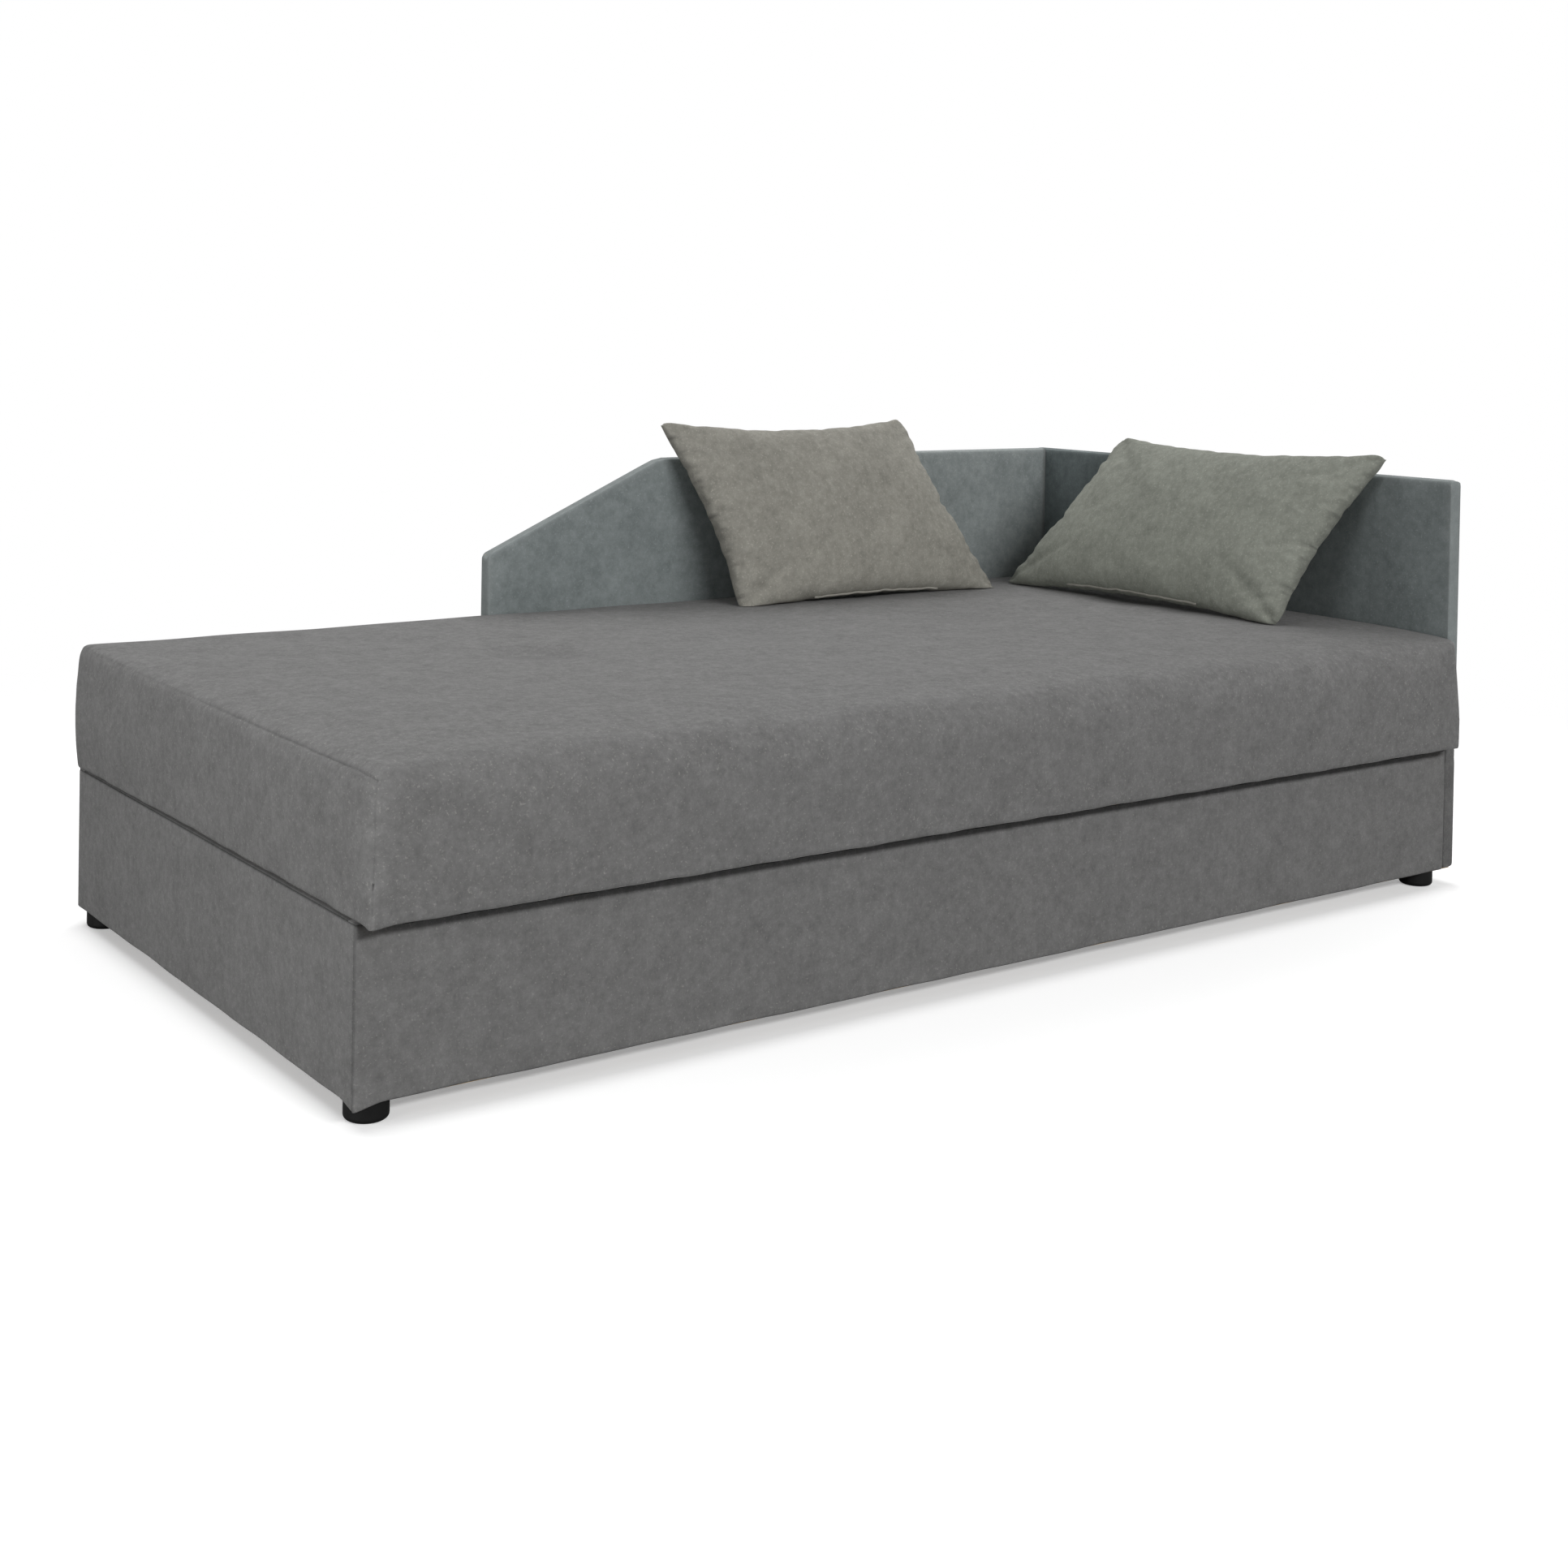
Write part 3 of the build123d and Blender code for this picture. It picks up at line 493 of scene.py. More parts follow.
def pine_finish(name, dark, light):
    """Planed softwood: bent rings that lie along the rails, with fine pores."""
    tree, shader, place = new_finish(name)
    cloud = tree.noise(place, 3.0, 3.0, 0.5)
    rings = tree.add("TexWave", {"Vector": place, "Scale": 9.0, "Distortion": 7.0, "Detail": 3.0,
                                 "Detail Scale": 1.6}, wave_type="BANDS", bands_direction="Z")
    pores = tree.noise(place, 160.0, 3.0, 0.6, (0.06, 0.3, 1))
    base = tree.mix(tree.weigh(rings.outputs["Fac"], 0.6, cloud, 0.4), dark, light)
    tree.put(shader, {"Base Color": tree.tint(base, pores, 0.35, dark), "Roughness": 0.6,
                      "Normal": tree.bump(pores, 0.15, 0.0003)})


def metal_finish(name, dull, bright, cloud, rough):
    """Plated steel: clouds of dullness, brushed lines and bright scratches."""
    tree, shader, place = new_finish(name)
    wear = tree.group("metal_wear", {"Place": place, "Cloud": cloud})
    base = tree.tint(tree.mix(wear["Clouds"], dull, bright), wear["Scratches"], 0.5, bright)
    dulled = tree.spread(wear["Clouds"], 0.3, 0.7, rough - 0.08, rough + 0.12)
    tree.put(shader, {"Base Color": base, "Metallic": 1.0, "Roughness": dulled,
                      "Normal": tree.bump(wear["Brushed"], 0.08, 0.0002)})


def plain_finish(name, dark, light, scale, rough, height=0.0003, sheen=0.0, gloss=0.5):
    """Moulded or fluffy stuff: a fine grain between two tones that also gives the relief."""
    tree, shader, place = new_finish(name)
    grain = tree.noise(place, scale, 5.0, 0.65)
    wide = tree.noise(place, scale * 0.06, 3.0, 0.5)
    tree.put(shader, {"Base Color": tree.mix(tree.weigh(grain, 0.6, wide, 0.4), dark, light),
                      "Roughness": tree.spread(grain, 0.3, 0.7, rough - 0.08, rough + 0.05),
                      "Normal": tree.bump(grain, 0.3, height),
                      "Sheen Weight": sheen, "Specular IOR Level": gloss})


cloth_finish("grey_fabric", (0.132, 0.131, 0.1295), (0.246, 0.245, 0.242), (0.36, 0.352, 0.335),
             patch=95.0, thread=420.0, sheen=0.06, flecks=0.6)
# The velvet's rim tone is its painted edge highlight, and its last tone the painted shade of the
# panels.
cloth_finish("panel_velvet", (0.166, 0.188, 0.187), (0.322, 0.352, 0.350), (0.44, 0.475, 0.475),
             patch=60.0, thread=420.0, sheen=0.15, threads=0.2, rim=(0.42, 0.44, 0.435),
             shade_and_tint_tone=(0.48, 0.52, 0.53))
cloth_finish("cushion_fabric", (0.192, 0.187, 0.164), (0.368, 0.357, 0.315), (0.47, 0.455, 0.40),
             patch=70.0, thread=400.0, sheen=0.12, shade_and_tint_tone=(0.93, 1.0, 0.985))
cloth_finish("lining_cloth", 0.012, 0.022, 0.04, patch=120.0, thread=700.0, sheen=0.0)
cloth_finish("zip_tape", (0.27, 0.262, 0.236), (0.42, 0.41, 0.365), (0.55, 0.53, 0.47),
             patch=120.0, thread=600.0, sheen=0.1)
cloth_finish("tie_cord", 0.1, 0.16, 0.2, patch=200.0, thread=900.0, sheen=0.0)
board_finish("chipboard", (0.36, 0.24, 0.12), (0.62, 0.47, 0.28), 330.0, rough=0.75)
board_finish("hardboard", (0.19, 0.11, 0.055), (0.27, 0.165, 0.085), 700.0, rough=0.6)
pine_finish("pine", (0.5, 0.32, 0.15), (0.74, 0.55, 0.31))
metal_finish("zinc_steel", (0.42, 0.43, 0.44), (0.66, 0.67, 0.68), 26.0, rough=0.36)
metal_finish("fastener_steel", (0.5, 0.48, 0.42), (0.72, 0.7, 0.64), 90.0, rough=0.3)
metal_finish("spring_steel", (0.3, 0.31, 0.32), (0.56, 0.57, 0.58), 60.0, rough=0.3)
plain_finish("foam", (0.6, 0.55, 0.38), (0.74, 0.69, 0.5), 420.0, rough=0.9, height=0.0008)
plain_finish("fibre_fill", 0.7, 0.85, 160.0, rough=0.9, height=0.004, sheen=0.2)
plain_finish("leg_plastic", 0.006, 0.012, 380.0, rough=0.5, height=0.0001, gloss=0.2)
plain_finish("buffer_rubber", 0.012, 0.022, 300.0, rough=0.8)
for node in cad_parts.values():
    finish = node.data.materials[0].name.split(".")[0]
    if finish in finishes:
        node.data.materials[0] = finishes[finish]


# Mattress

def mattress_top(x, y):
    """Height of the padded top without tufts: level to the rear, falling as a sixth power to the
    front edge, and rising from the foot seam over a length that is shorter at the rear."""
    middle = (mattress_low[1] + mattress_high[1]) / 2
    half = (mattress_high[1] - mattress_low[1]) / 2
    across = np.clip((middle - y) / half, 0, 1)
    reach = between(0.10, 0.01, smooth_step(-0.1, 0.45, y))
    return edge_top + top_rise * (1 - across ** 6) * smooth_step(-0.03, reach, x - mattress_low[0])


def tuft_parts(x, y):
    """Distance from each tie, the same as a share of the tuft's reach up to 1, and how far a point
    lies to the front of the tie, 0 to 1."""
    aside, back = np.broadcast_arrays(x[:, None] - tuft_xs, y[:, None] - tuft_y)
    gap = np.hypot(aside, back)
    front = 0.5 - 0.5 * (0.5 * aside + 0.866 * back) / np.maximum(gap, 1e-6)
    return gap, np.clip(gap / tuft_reach, 0, 1), front


def tuft_pull(x, y):
    """0 to 1 pull of the tufts: a round bowl at each tie, crisp at the front rim and soft behind,
    with a small pit at the tie, times each tuft's share."""
    gap, far, front = tuft_parts(x, y)
    bowl = front * (1 - far ** 2.4) + (1 - front) * (1 - far) ** 2 * (1 + 2 * far)
    return np.max(tuft_share * (0.8 * bowl + 0.2 * bell(gap, pit_reach)), axis=1)


def tuft_painted_shade(x, y):
    """0 to 1 painted shade in the tufts' bowls: strongest behind the front rim and fading to the
    rear.
    """
    _, far, front = tuft_parts(x, y)
    rim = smooth_step(1.0, 0.3 + 0.6 * front, far)
    return np.max(tuft_share ** 2 * rim * (0.25 + 0.75 * far * front), axis=1)


def mattress_form(points, inset):
    """Upholstered block, smaller by an inset: edges with a radius of their own behind, in front, at
    foot, head and hem, blended by smooth steps, and a round plan at the head's front corner; sides
    swell as half a sine and lean out at the foot behind, and tufts pull the top down."""
    low, high = mattress_low + inset, block_high - inset
    x, y, z = points.T
    radius = between(rear_radius, front_radius, smooth_step(0.3, 0.06, y - low[1]))
    foot_radius = between(foot_radius_rear, foot_radius_front, smooth_step(0.3, -0.45, y))
    radius = between(radius, foot_radius, smooth_step(0.16, 0.03, x - low[0]))
    radius = between(radius, head_radius, smooth_step(0.12, 0.008, high[0] - x))
    radius = between(hem_radius, radius, smooth_step(0.0, 0.09, z - low[2]))
    moved = round_edges(points, low, high, np.maximum(radius - inset, least_radius)[:, None])
    turn = between(corner_turn_low, corner_turn_high, np.clip((z - 0.29) / 0.12, 0, 1)) - inset
    moved = round_plan(moved, np.array([high[0], low[1]]), (1, -1), np.maximum(turn, least_radius))
    height = np.clip((z - low[2]) / (high[2] - low[2]), 0, 1)
    side = np.clip((moved - (low + high) / 2) / ((high - low) / 2), -1, 1)
    outer = np.abs(side[:, :2]) ** 30 * np.sign(side[:, :2])
    swell = 0.004 * np.sin(np.pi * height)
    moved[:, :2] += swell[:, None] * outer * (1 - np.abs(side[:, 1::-1]) ** 6)
    lean = (0.005 + 0.007 * np.sin(np.pi * height)) * smooth_step(0.0, 0.46, y)
    moved[:, 0] += np.minimum(outer[:, 0], 0) * lean
    rise = mattress_top(moved[:, 0], moved[:, 1]) - edge_top
    moved[:, 2] += height ** 8 * (rise - tuft_depth * tuft_pull(moved[:, 0], moved[:, 1]))
    return moved


def mattress_shell():
    """The block with a lip below, an inner wall up to the deck and a flat ceiling there in place of
    its floor: points, their places on the plain block, faces, and the first lip point's number."""
    low, high = mattress_low, block_high
    level, upright = (0.018, 0.0028, 0.006), (0.016, 0.003, 0.0028)
    spot, faces, number = block_grid(low, high, (level, level, upright), floor=False)
    points = mattress_form(spot, 0.0)
    base = number[:, :, 0]
    hem = np.concatenate([base[:-1, 0], base[-1, :-1], base[:0:-1, -1], base[0, :0:-1]])
    lip = len(points) + np.arange(len(hem))
    wall = lip + len(hem)
    inner = np.clip(spot[hem], low + lip_width, high - lip_width)
    rings = np.concatenate([inner, inner])
    rings[:, 2] = np.repeat([low[2] + 0.0002, deck_top + 0.0004], len(hem))
    bands = [cells(np.stack([np.append(a, a[:1]), np.append(b, b[:1])]), True)
             for a, b in ((hem, lip), (lip, wall))]
    wide, deep = base.shape
    front, rear = wall[:wide], wall[wide + deep - 2:2 * wide + deep - 2][::-1]
    ceiling = np.stack([front[1:-2], rear[1:-2], rear[2:-1], front[2:-1]], -1)
    ends = [np.concatenate([wall[:2], wall[2 * wide + deep - 4:]]), wall[wide - 2:wide + deep]]
    faces = [faces, *bands, ceiling, *[end[None, ::-1] for end in ends]]
    return np.concatenate([points, rings]), np.concatenate([spot, rings]), faces, lip[0]


def make_mattress():
    """Padded cover: the shell blown up as cloth between hem and tufts, then moved along its normals
    by bell-shaped seam grooves and a ridge, puckers that fade from the seams and broad waves; the
    hem ripples, and its front corner at the foot hangs down."""
    low, high = mattress_low, block_high
    points, spot, faces, first_lip = mattress_shell()
    piece = new_piece("mattress", points, faces, "lid", "grey_fabric")
    note(piece.data, "spot", spot)
    held = (spot[:, 2] < low[2] + 0.012) | (np.arange(len(spot)) >= first_lip)
    held |= (tuft_pull(points[:, 0], points[:, 1]) > 0.3) & (spot[:, 2] > high[2] - 0.01)
    set_points(piece.data, inflate(piece, held, pressure=2.5, reach=0.006))
    mesh = refine(piece)
    points = get_points(mesh)
    spot = read_field(mesh.attributes["spot"].data, "vector")
    from_foot, from_front, from_hem = (spot - low).T
    outside = points[:, 2] > low[2] + 0.0005
    foot_gap, corner_gap = from_foot + (high[2] - spot[:, 2]), from_foot + from_front
    fade = 1 - 0.75 * smooth_step(-0.35, 0.25, spot[:, 1])
    foot_seam, corner_seam = bell(foot_gap, seam_width) * fade, bell(corner_gap, seam_width)
    seam = np.maximum(foot_seam, 0.5 * corner_seam) * outside
    ridge = bell(foot_gap - 0.008, 0.005) * fade
    pucker = ripple(spot[:, 1] + spot[:, 2], (0.031, 0.047, 0.083), 3)
    pucker *= np.exp(-np.minimum(foot_gap, corner_gap) / 0.03)
    wave = ripple(points[:, 0] + 0.4 * points[:, 1], (0.23, 0.37, 0.61), 5)
    wave *= ripple(points[:, 1], (0.17, 0.29), 6)
    lift = ridge_height * ridge + pucker_height * pucker + wave_height * wave
    lift = lift * outside - seam_depth * seam
    points += read_field(mesh.vertex_normals, "vector") * lift[:, None]
    near_hem = smooth_step(0.03, 0.0, from_hem) * (from_hem < 0.05)
    hem_wave = 1 + ripple(spot[:, 0] + spot[:, 1], (0.07, 0.13, 0.31), 8)
    points[:, 2] += 0.0005 * near_hem * hem_wave * outside
    points[:, 2] -= 0.004 * bell(from_foot, 0.02) * bell(from_front, 0.02) * near_hem
    points[:, 2] = np.minimum(points[:, 2], mattress_top(points[:, 0], points[:, 1]) + 0.0005)
    set_points(mesh, points)
    # Painted shade in the tuft bowls.
    bowl = tuft_painted_shade(spot[:, 0], spot[:, 1]) * (spot[:, 2] > high[2] - 0.002)
    # Painted shade along the hem where it meets the box, except along the front.
    hem_gap_shade = bell(from_hem, 0.0025) * (from_front > 0.004)
    note(mesh, "seam", np.maximum.reduce([0.27 * seam, 0.3 * hem_gap_shade, 0.28 * bowl]))
    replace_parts(piece, "mattress_cover")


def make_foam():
    """Foam block under the cover: the same rounded form, smaller all round, on the deck."""
    low, high = mattress_low + foam_inset, block_high - foam_inset
    level, upright = (0.05, 0.004, 0.004), (0.03, 0.004, 0.004)
    spot, faces, _ = block_grid(low, high, (level, level, upright))
    points = mattress_form(spot, foam_inset)
    points[:, 2] = np.maximum(points[:, 2], deck_top + 0.0008)
    piece = new_piece("mattress_foam", points, [faces], "lid", "foam")
    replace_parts(piece, "mattress_core")


# Bed box and panels

def make_box_cover(name, node, thin, outward):
    """Fabric stretched over a board: a thin slab with its outer edges rounded by the cloth's
    thickness, swollen by the root of half a sine and by waves, with a rippled hem whose corner at
    the foot in front hangs down as a tip."""
    low, high = corners(node)
    size = high - low
    along, inner = 1 - thin, 1 if outward < 0 else 0
    steps = [(0.02, 0.0012, 0.0012)] * 3
    steps[thin] = (size[thin] / 3,)
    spot, faces, _ = block_grid(low, high, steps)
    deep = [low.copy(), high.copy()]
    deep[inner][thin] -= 0.02 * outward
    points = round_edges(spot, *deep, size[thin] - 0.0001)
    from_hem = spot[:, 2] - low[2]
    inside = np.sin(np.pi * np.clip(from_hem / size[2], 0, 1)) ** 0.5
    wave = ripple(spot[:, along], (0.31, 0.47, 0.83), 11 + thin)
    wave *= ripple(spot[:, 2], (0.19, 0.27), 12)
    outer = np.abs(spot[:, thin] - (low, high)[inner][thin]) / size[thin]
    points[:, thin] += outward * outer * inside * (0.0008 + 0.0007 * wave)
    near_foot = (spot[:, 0] - foot_end) + (spot[:, 1] - cover_front)
    tip = smooth_step(0.05, 0.0, near_foot) ** 1.5 * smooth_step(0.05, 0.0, from_hem)
    hem_wave = ripple(spot[:, along], (0.13, 0.21, 0.36), 14) * smooth_step(0.012, 0.0, from_hem)
    points[:, 2] += 0.0006 * hem_wave - corner_tip * tip
    piece = new_piece(name, points, [faces], "bed_box", "grey_fabric")
    end_gap = np.minimum(spot[:, along] - low[along], high[along] - spot[:, along])
    # Painted shade along the top of the cover, under the mattress hem; the seam attribute carries
    # it together with the dark seams at the ends.
    painted_hem_shade = bell(high[2] - spot[:, 2], 0.004 if thin else 0.002)
    note(piece.data, "seam", np.maximum(0.35 * bell(end_gap, 0.0015), 0.9 * painted_hem_shade))
    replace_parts(piece, node)


def make_turnover(name, node, board, thin, outward, end_reach):
    """Fabric turned over a board's top edge and stapled inside: an L-shaped section, flat on the
    edge and hanging down the inner face, drawn along the board."""
    low, high = corners(board)
    along = 1 - thin
    face = corners(node)[0 if outward < 0 else 1][thin]
    inner = high[thin] if outward < 0 else low[thin]
    step = -outward * fold_cloth
    top, painted_hem_shade, end = high[2] + 0.0012, high[2] - 0.0006, high[2] - fold_drop
    across = np.array([face + 1.2 * step, face + 1.6 * step, inner, inner + 0.7 * step,
                       inner + step, inner + step, inner + 0.1 * step, inner + 0.1 * step])
    tall = np.array([painted_hem_shade, top, top, top - 0.0003, top - 0.0010, end, end, painted_hem_shade])
    if (outward < 0) == (thin == 1):
        across, tall = across[::-1], tall[::-1]
    ways = axis_lines(low[along] - end_reach, high[along] + end_reach, 0.03)
    points = np.empty((len(ways), len(across), 3))
    points[..., along], points[..., thin], points[..., 2] = ways[:, None], across, tall
    number = np.arange(points[..., 0].size).reshape(points.shape[:2])
    piece = new_piece(name, points.reshape(-1, 3), sleeve(number), "bed_box", "grey_fabric")
    # Painted shade on the turned-over cloth towards its outer edge, in the gap under the mattress.
    edge_gap = np.abs(points[..., thin] - face).ravel()
    note(piece.data, "seam", 0.6 * smooth_step(0.014, 0.006, edge_gap))


def panel_top(x, low, high):
    """Height of the back panel's top: a slope from the low foot end that meets the level top in a
    soft corner, with a round fillet between the upright end and the slope."""
    tilt = math.atan2(high[2] - slope_low, slope_run)
    rise = slope_low + (x - low[0]) * math.tan(tilt)
    level = np.full_like(rise, high[2])
    top = -slope_blend * np.logaddexp(-rise / slope_blend, -level / slope_blend)
    inside = np.clip(x - low[0], 0, end_round)
    centre = slope_low - end_round * math.tan(math.pi / 4 - tilt / 2)
    arc = centre + np.sqrt(end_round ** 2 - (end_round - inside) ** 2)
    return np.where(inside < end_round * (1 - math.sin(tilt)), np.minimum(arc, top), top)


def make_panel(name, node, thin, bottom, top, finish, sloped, shade_and_tint):
    """Padded panel part between two heights: a slab with rounded edges, tighter at the joint of pad
    and band, a round corner at its front end and a slight wavy swell on both faces; in a sloped one
    heights above the joint are scaled to the panel's top line."""
    low, high = corners(node)
    upper = bottom > low[2]
    low[2], high[2] = bottom, top
    along = 1 - thin
    steps = [(0.02, 0.0015, 0.0015)] * 3
    steps[thin] = (0.003, 0.0012, 0.0012)
    spot, faces, _ = block_grid(low, high, steps)
    points = round_edges(spot, low, high, panel_radius, (thin, along))
    joint = smooth_step(0.05, 0.0, np.abs(spot[:, 2] - box_top))
    radius = between(panel_radius, joint_radius, joint)
    points = round_edges(points, low, high, radius[:, None], (thin, 2))
    if not sloped:
        corner = np.array([low[along], high[2] if upper else low[2]])
        points = round_plan(points, corner, (-1, 1 if upper else -1), panel_radius, (along, 2))
    from_low, from_high = spot[:, along] - low[along], high[along] - spot[:, along]
    rim_gap = np.minimum.reduce([from_low, from_high, high[2] - spot[:, 2]])
    edge = np.minimum(rim_gap, spot[:, 2] - low[2])
    swell = 0.0012 * smooth_step(0.0, 0.05, edge)
    wave = ripple(spot[:, along], (0.21, 0.33, 0.57), 21 + thin)
    wave *= ripple(spot[:, 2], (0.16, 0.29), 22)
    share = (2 * spot[:, thin] - low[thin] - high[thin]) / (high[thin] - low[thin])
    points[:, thin] += share * swell * (1 + 0.6 * wave)
    if sloped:
        scale = (panel_top(points[:, 0], *corners(node)) - low[2]) / (high[2] - low[2])
        points[:, 2] = low[2] + (points[:, 2] - low[2]) * scale
    piece = new_piece(name, points, [faces], "bed_box", finish)
    # Painted highlight along the panel's edges, stored as rim.
    note(piece.data, "rim", np.exp(-np.maximum(rim_gap, 0) / 0.006))
    share = from_low / (high[along] - low[along])
    # Painted shade: the panel is darkened by its tone, by a share that changes along it, in place
    # of how light falls on it.
    note(piece.data, "shade_and_tint", between(*shade_and_tint, smooth_step(0.38, 0.66, share)))
    if finish == "grey_fabric":
        # The band is darker towards its low end and over its inner face.
        end = 0.2 * smooth_step(0.03, 0.0, from_low)
        note(piece.data, "seam", np.maximum(end, 0.8 * bell(spot[:, thin] - low[thin], 0.004)))
    elif sloped:
        # Painted shade at the pad's high end, in the corner where it meets the head panel.
        note(piece.data, "seam", 0.9 * bell(from_high, 0.006))
    return piece


# Cushions

def cushion_form(spot, widths, slip, height):
    """Knife-edge cushion before it is blown up: a slanted outline of four sides with its corners
    stretched and rounded, drawn in between them. Its thickness follows a root of the product of one
    less a power of the share across and one less a power of the share up. Gives the places across,
    up and out, the gaps to the side and top seams, and that fullness."""
    u, v, w = spot.T
    half = between(*widths, v)
    tall = np.abs(2 * v - 1)
    tip = (np.abs(u) * tall) ** 2.5
    side_gap, top_gap = (1 - np.abs(u)) * half, np.minimum(v, 1 - v) * height
    drawn = corner_draw(np.maximum(tip_round - np.stack([side_gap, top_gap], -1), 0))
    side_pull = 0.010 * np.abs(u) ** 5 * (1 - tall ** 2) - 0.016 * tip + drawn[:, 0]
    top_pull = 0.011 * (1 - u * u) * v ** 5 - 0.004 * (1 - v) ** 5 * (1 - u ** 4)
    full = np.clip((1 - np.abs(u) ** 3.5) * (1 - tall ** 2.4), 0, 1) ** 0.46
    full += 0.05 * np.clip((1 - np.abs(u)) * 20, 0, 1)
    bulge = np.where(w > 0, front_bulge, rear_bulge)
    local = np.stack([slip * v + u * half - np.sign(u) * side_pull,
                      height * v - top_pull + (0.010 * tip - drawn[:, 1]) * np.sign(2 * v - 1),
                      w * (0.0008 + 0.88 * bulge * full)], -1)
    return local, side_gap, top_gap, full


def cushion_puckers(local, side_gap, top_gap, full, seed):
    """How far a cushion's cloth stands out along its normals: sharp ruffles that die away from the
    side seams, small ones at the top and bottom seams, and broad waves over the middle."""
    x, y, _ = local.T
    ruffle = 0.5 - np.abs(ripple(y + 0.35 * side_gap, (0.028, 0.043, 0.07), seed))
    ruffle *= np.exp(-side_gap / 0.028) * smooth_step(0, 0.012, side_gap)
    small = ripple(x, (0.035, 0.057, 0.09), seed + 1) * np.exp(-top_gap / 0.022)
    broad = ripple(x + 0.5 * y, (0.13, 0.21), seed + 3) * ripple(y, (0.11, 0.17), seed + 4)
    return 0.009 * ruffle + 0.0008 * small + 0.0016 * broad * full


def make_zip_lip(label, path, up, out):
    """Lip of tape over the zip: a flat tube along the bottom seam, lifted off the mattress."""
    path = path + 0.0012 * out - 0.0006 * up
    points, faces = tube(path, 0.8 * up - 0.6 * out, 0.0008, 0.0022, 12)
    points[:, 2] = np.maximum(points[:, 2], mattress_top(points[:, 0], points[:, 1]) + 0.0008)
    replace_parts(new_piece(label + "_zip_lip", points, faces, label, "zip_tape"), label + "_zip")


def make_cushion(label, origin, rearward, lean, widths, slip, height, seed, shade_and_tint):
    """Cushion that leans on a panel: its form blown up as cloth with the corners held, set to its
    front and rear depth, puckered, and pressed flat by panel and mattress; with a stuffing of the
    same form and a lip over the zip."""
    level, tilt = np.array([0.0, 0.0, 1.0]), math.radians(lean)
    across = np.cross(rearward, level)
    up = math.sin(tilt) * np.array(rearward, float) + math.cos(tilt) * level
    axes = np.stack([across, up, np.cross(across, up)])
    us, vs = [axis_lines(low, 1, step, 0.3 * step, 0.3 * step)
              for low, step in ((-1, cushion_step / widths[0]), (0, cushion_step / height))]
    spot, faces, number = box_grid(us, vs, np.array([-1.0, 1.0]))
    u, v, w = spot.T
    local, side_gap, top_gap, full = cushion_form(spot, widths, slip, height)
    piece = new_piece(label + "_pad", origin + local @ axes, [faces], label, "cushion_fabric")
    note(piece.data, "spot", spot)
    held = (np.abs(u) > 0.985) & ((v < 0.02) | (v > 0.98))
    local = (inflate(piece, held, pressure=4.0, reach=0.010) - origin) @ axes.T
    front, rear = local[w > 0, 2].max(), -local[w < 0, 2].min()
    local[:, 2] *= np.where(local[:, 2] > 0, front_bulge / front, rear_bulge / rear)
    pucker = cushion_puckers(local, side_gap, top_gap, full, seed)
    edge = np.exp(-side_gap / 0.012) * (1 - (2 * v - 1) ** 2)
    local[:, 0] += 0.0022 * edge * ripple(local[:, 1], (0.019, 0.034, 0.06), seed + 2)
    set_points(piece.data, origin + local @ axes)
    normals = read_field(piece.data.vertex_normals, "vector")
    points = get_points(piece.data) + normals * pucker[:, None]
    points[:, 0] = np.minimum(points[:, 0], panel_face_x - panel_ease)
    points[:, 1] = np.minimum(points[:, 1], panel_face_y - panel_ease)
    resting = mattress_top(points[:, 0], points[:, 1]) + mattress_ease
    points[:, 2] = np.maximum(points[:, 2], resting)
    set_points(piece.data, points)
    centre = points.mean(axis=0)
    stuffing = new_piece(label + "_stuffing", between(centre, points, 0.93), [faces], label,
                         "fibre_fill")
    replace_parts(stuffing, label + "_filling")
    make_zip_lip(label, points[number[np.abs(us) < 0.5, 1, 1]], axes[1], axes[2])
    mesh = refine(piece)
    u, v, _ = read_field(mesh.attributes["spot"].data, "vector").T
    seam_gap = (1 - np.abs(u)) * widths[0]
    # Painted shade in creases along the side seams, uneven along them; the thin line beside it is
    # the real seam.
    painted_crease_shade = np.maximum(0, ripple(v * height, (0.013, 0.029, 0.071), seed + 5))
    painted_crease_shade *= bell(seam_gap, 0.010)
    note(mesh, "seam", np.maximum(0.35 * bell(seam_gap, 0.004), 0.45 * painted_crease_shade))
    note(mesh, "shade_and_tint", np.full(len(mesh.vertices), shade_and_tint))
    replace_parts(piece, label + "_cover")


# Springs and lining

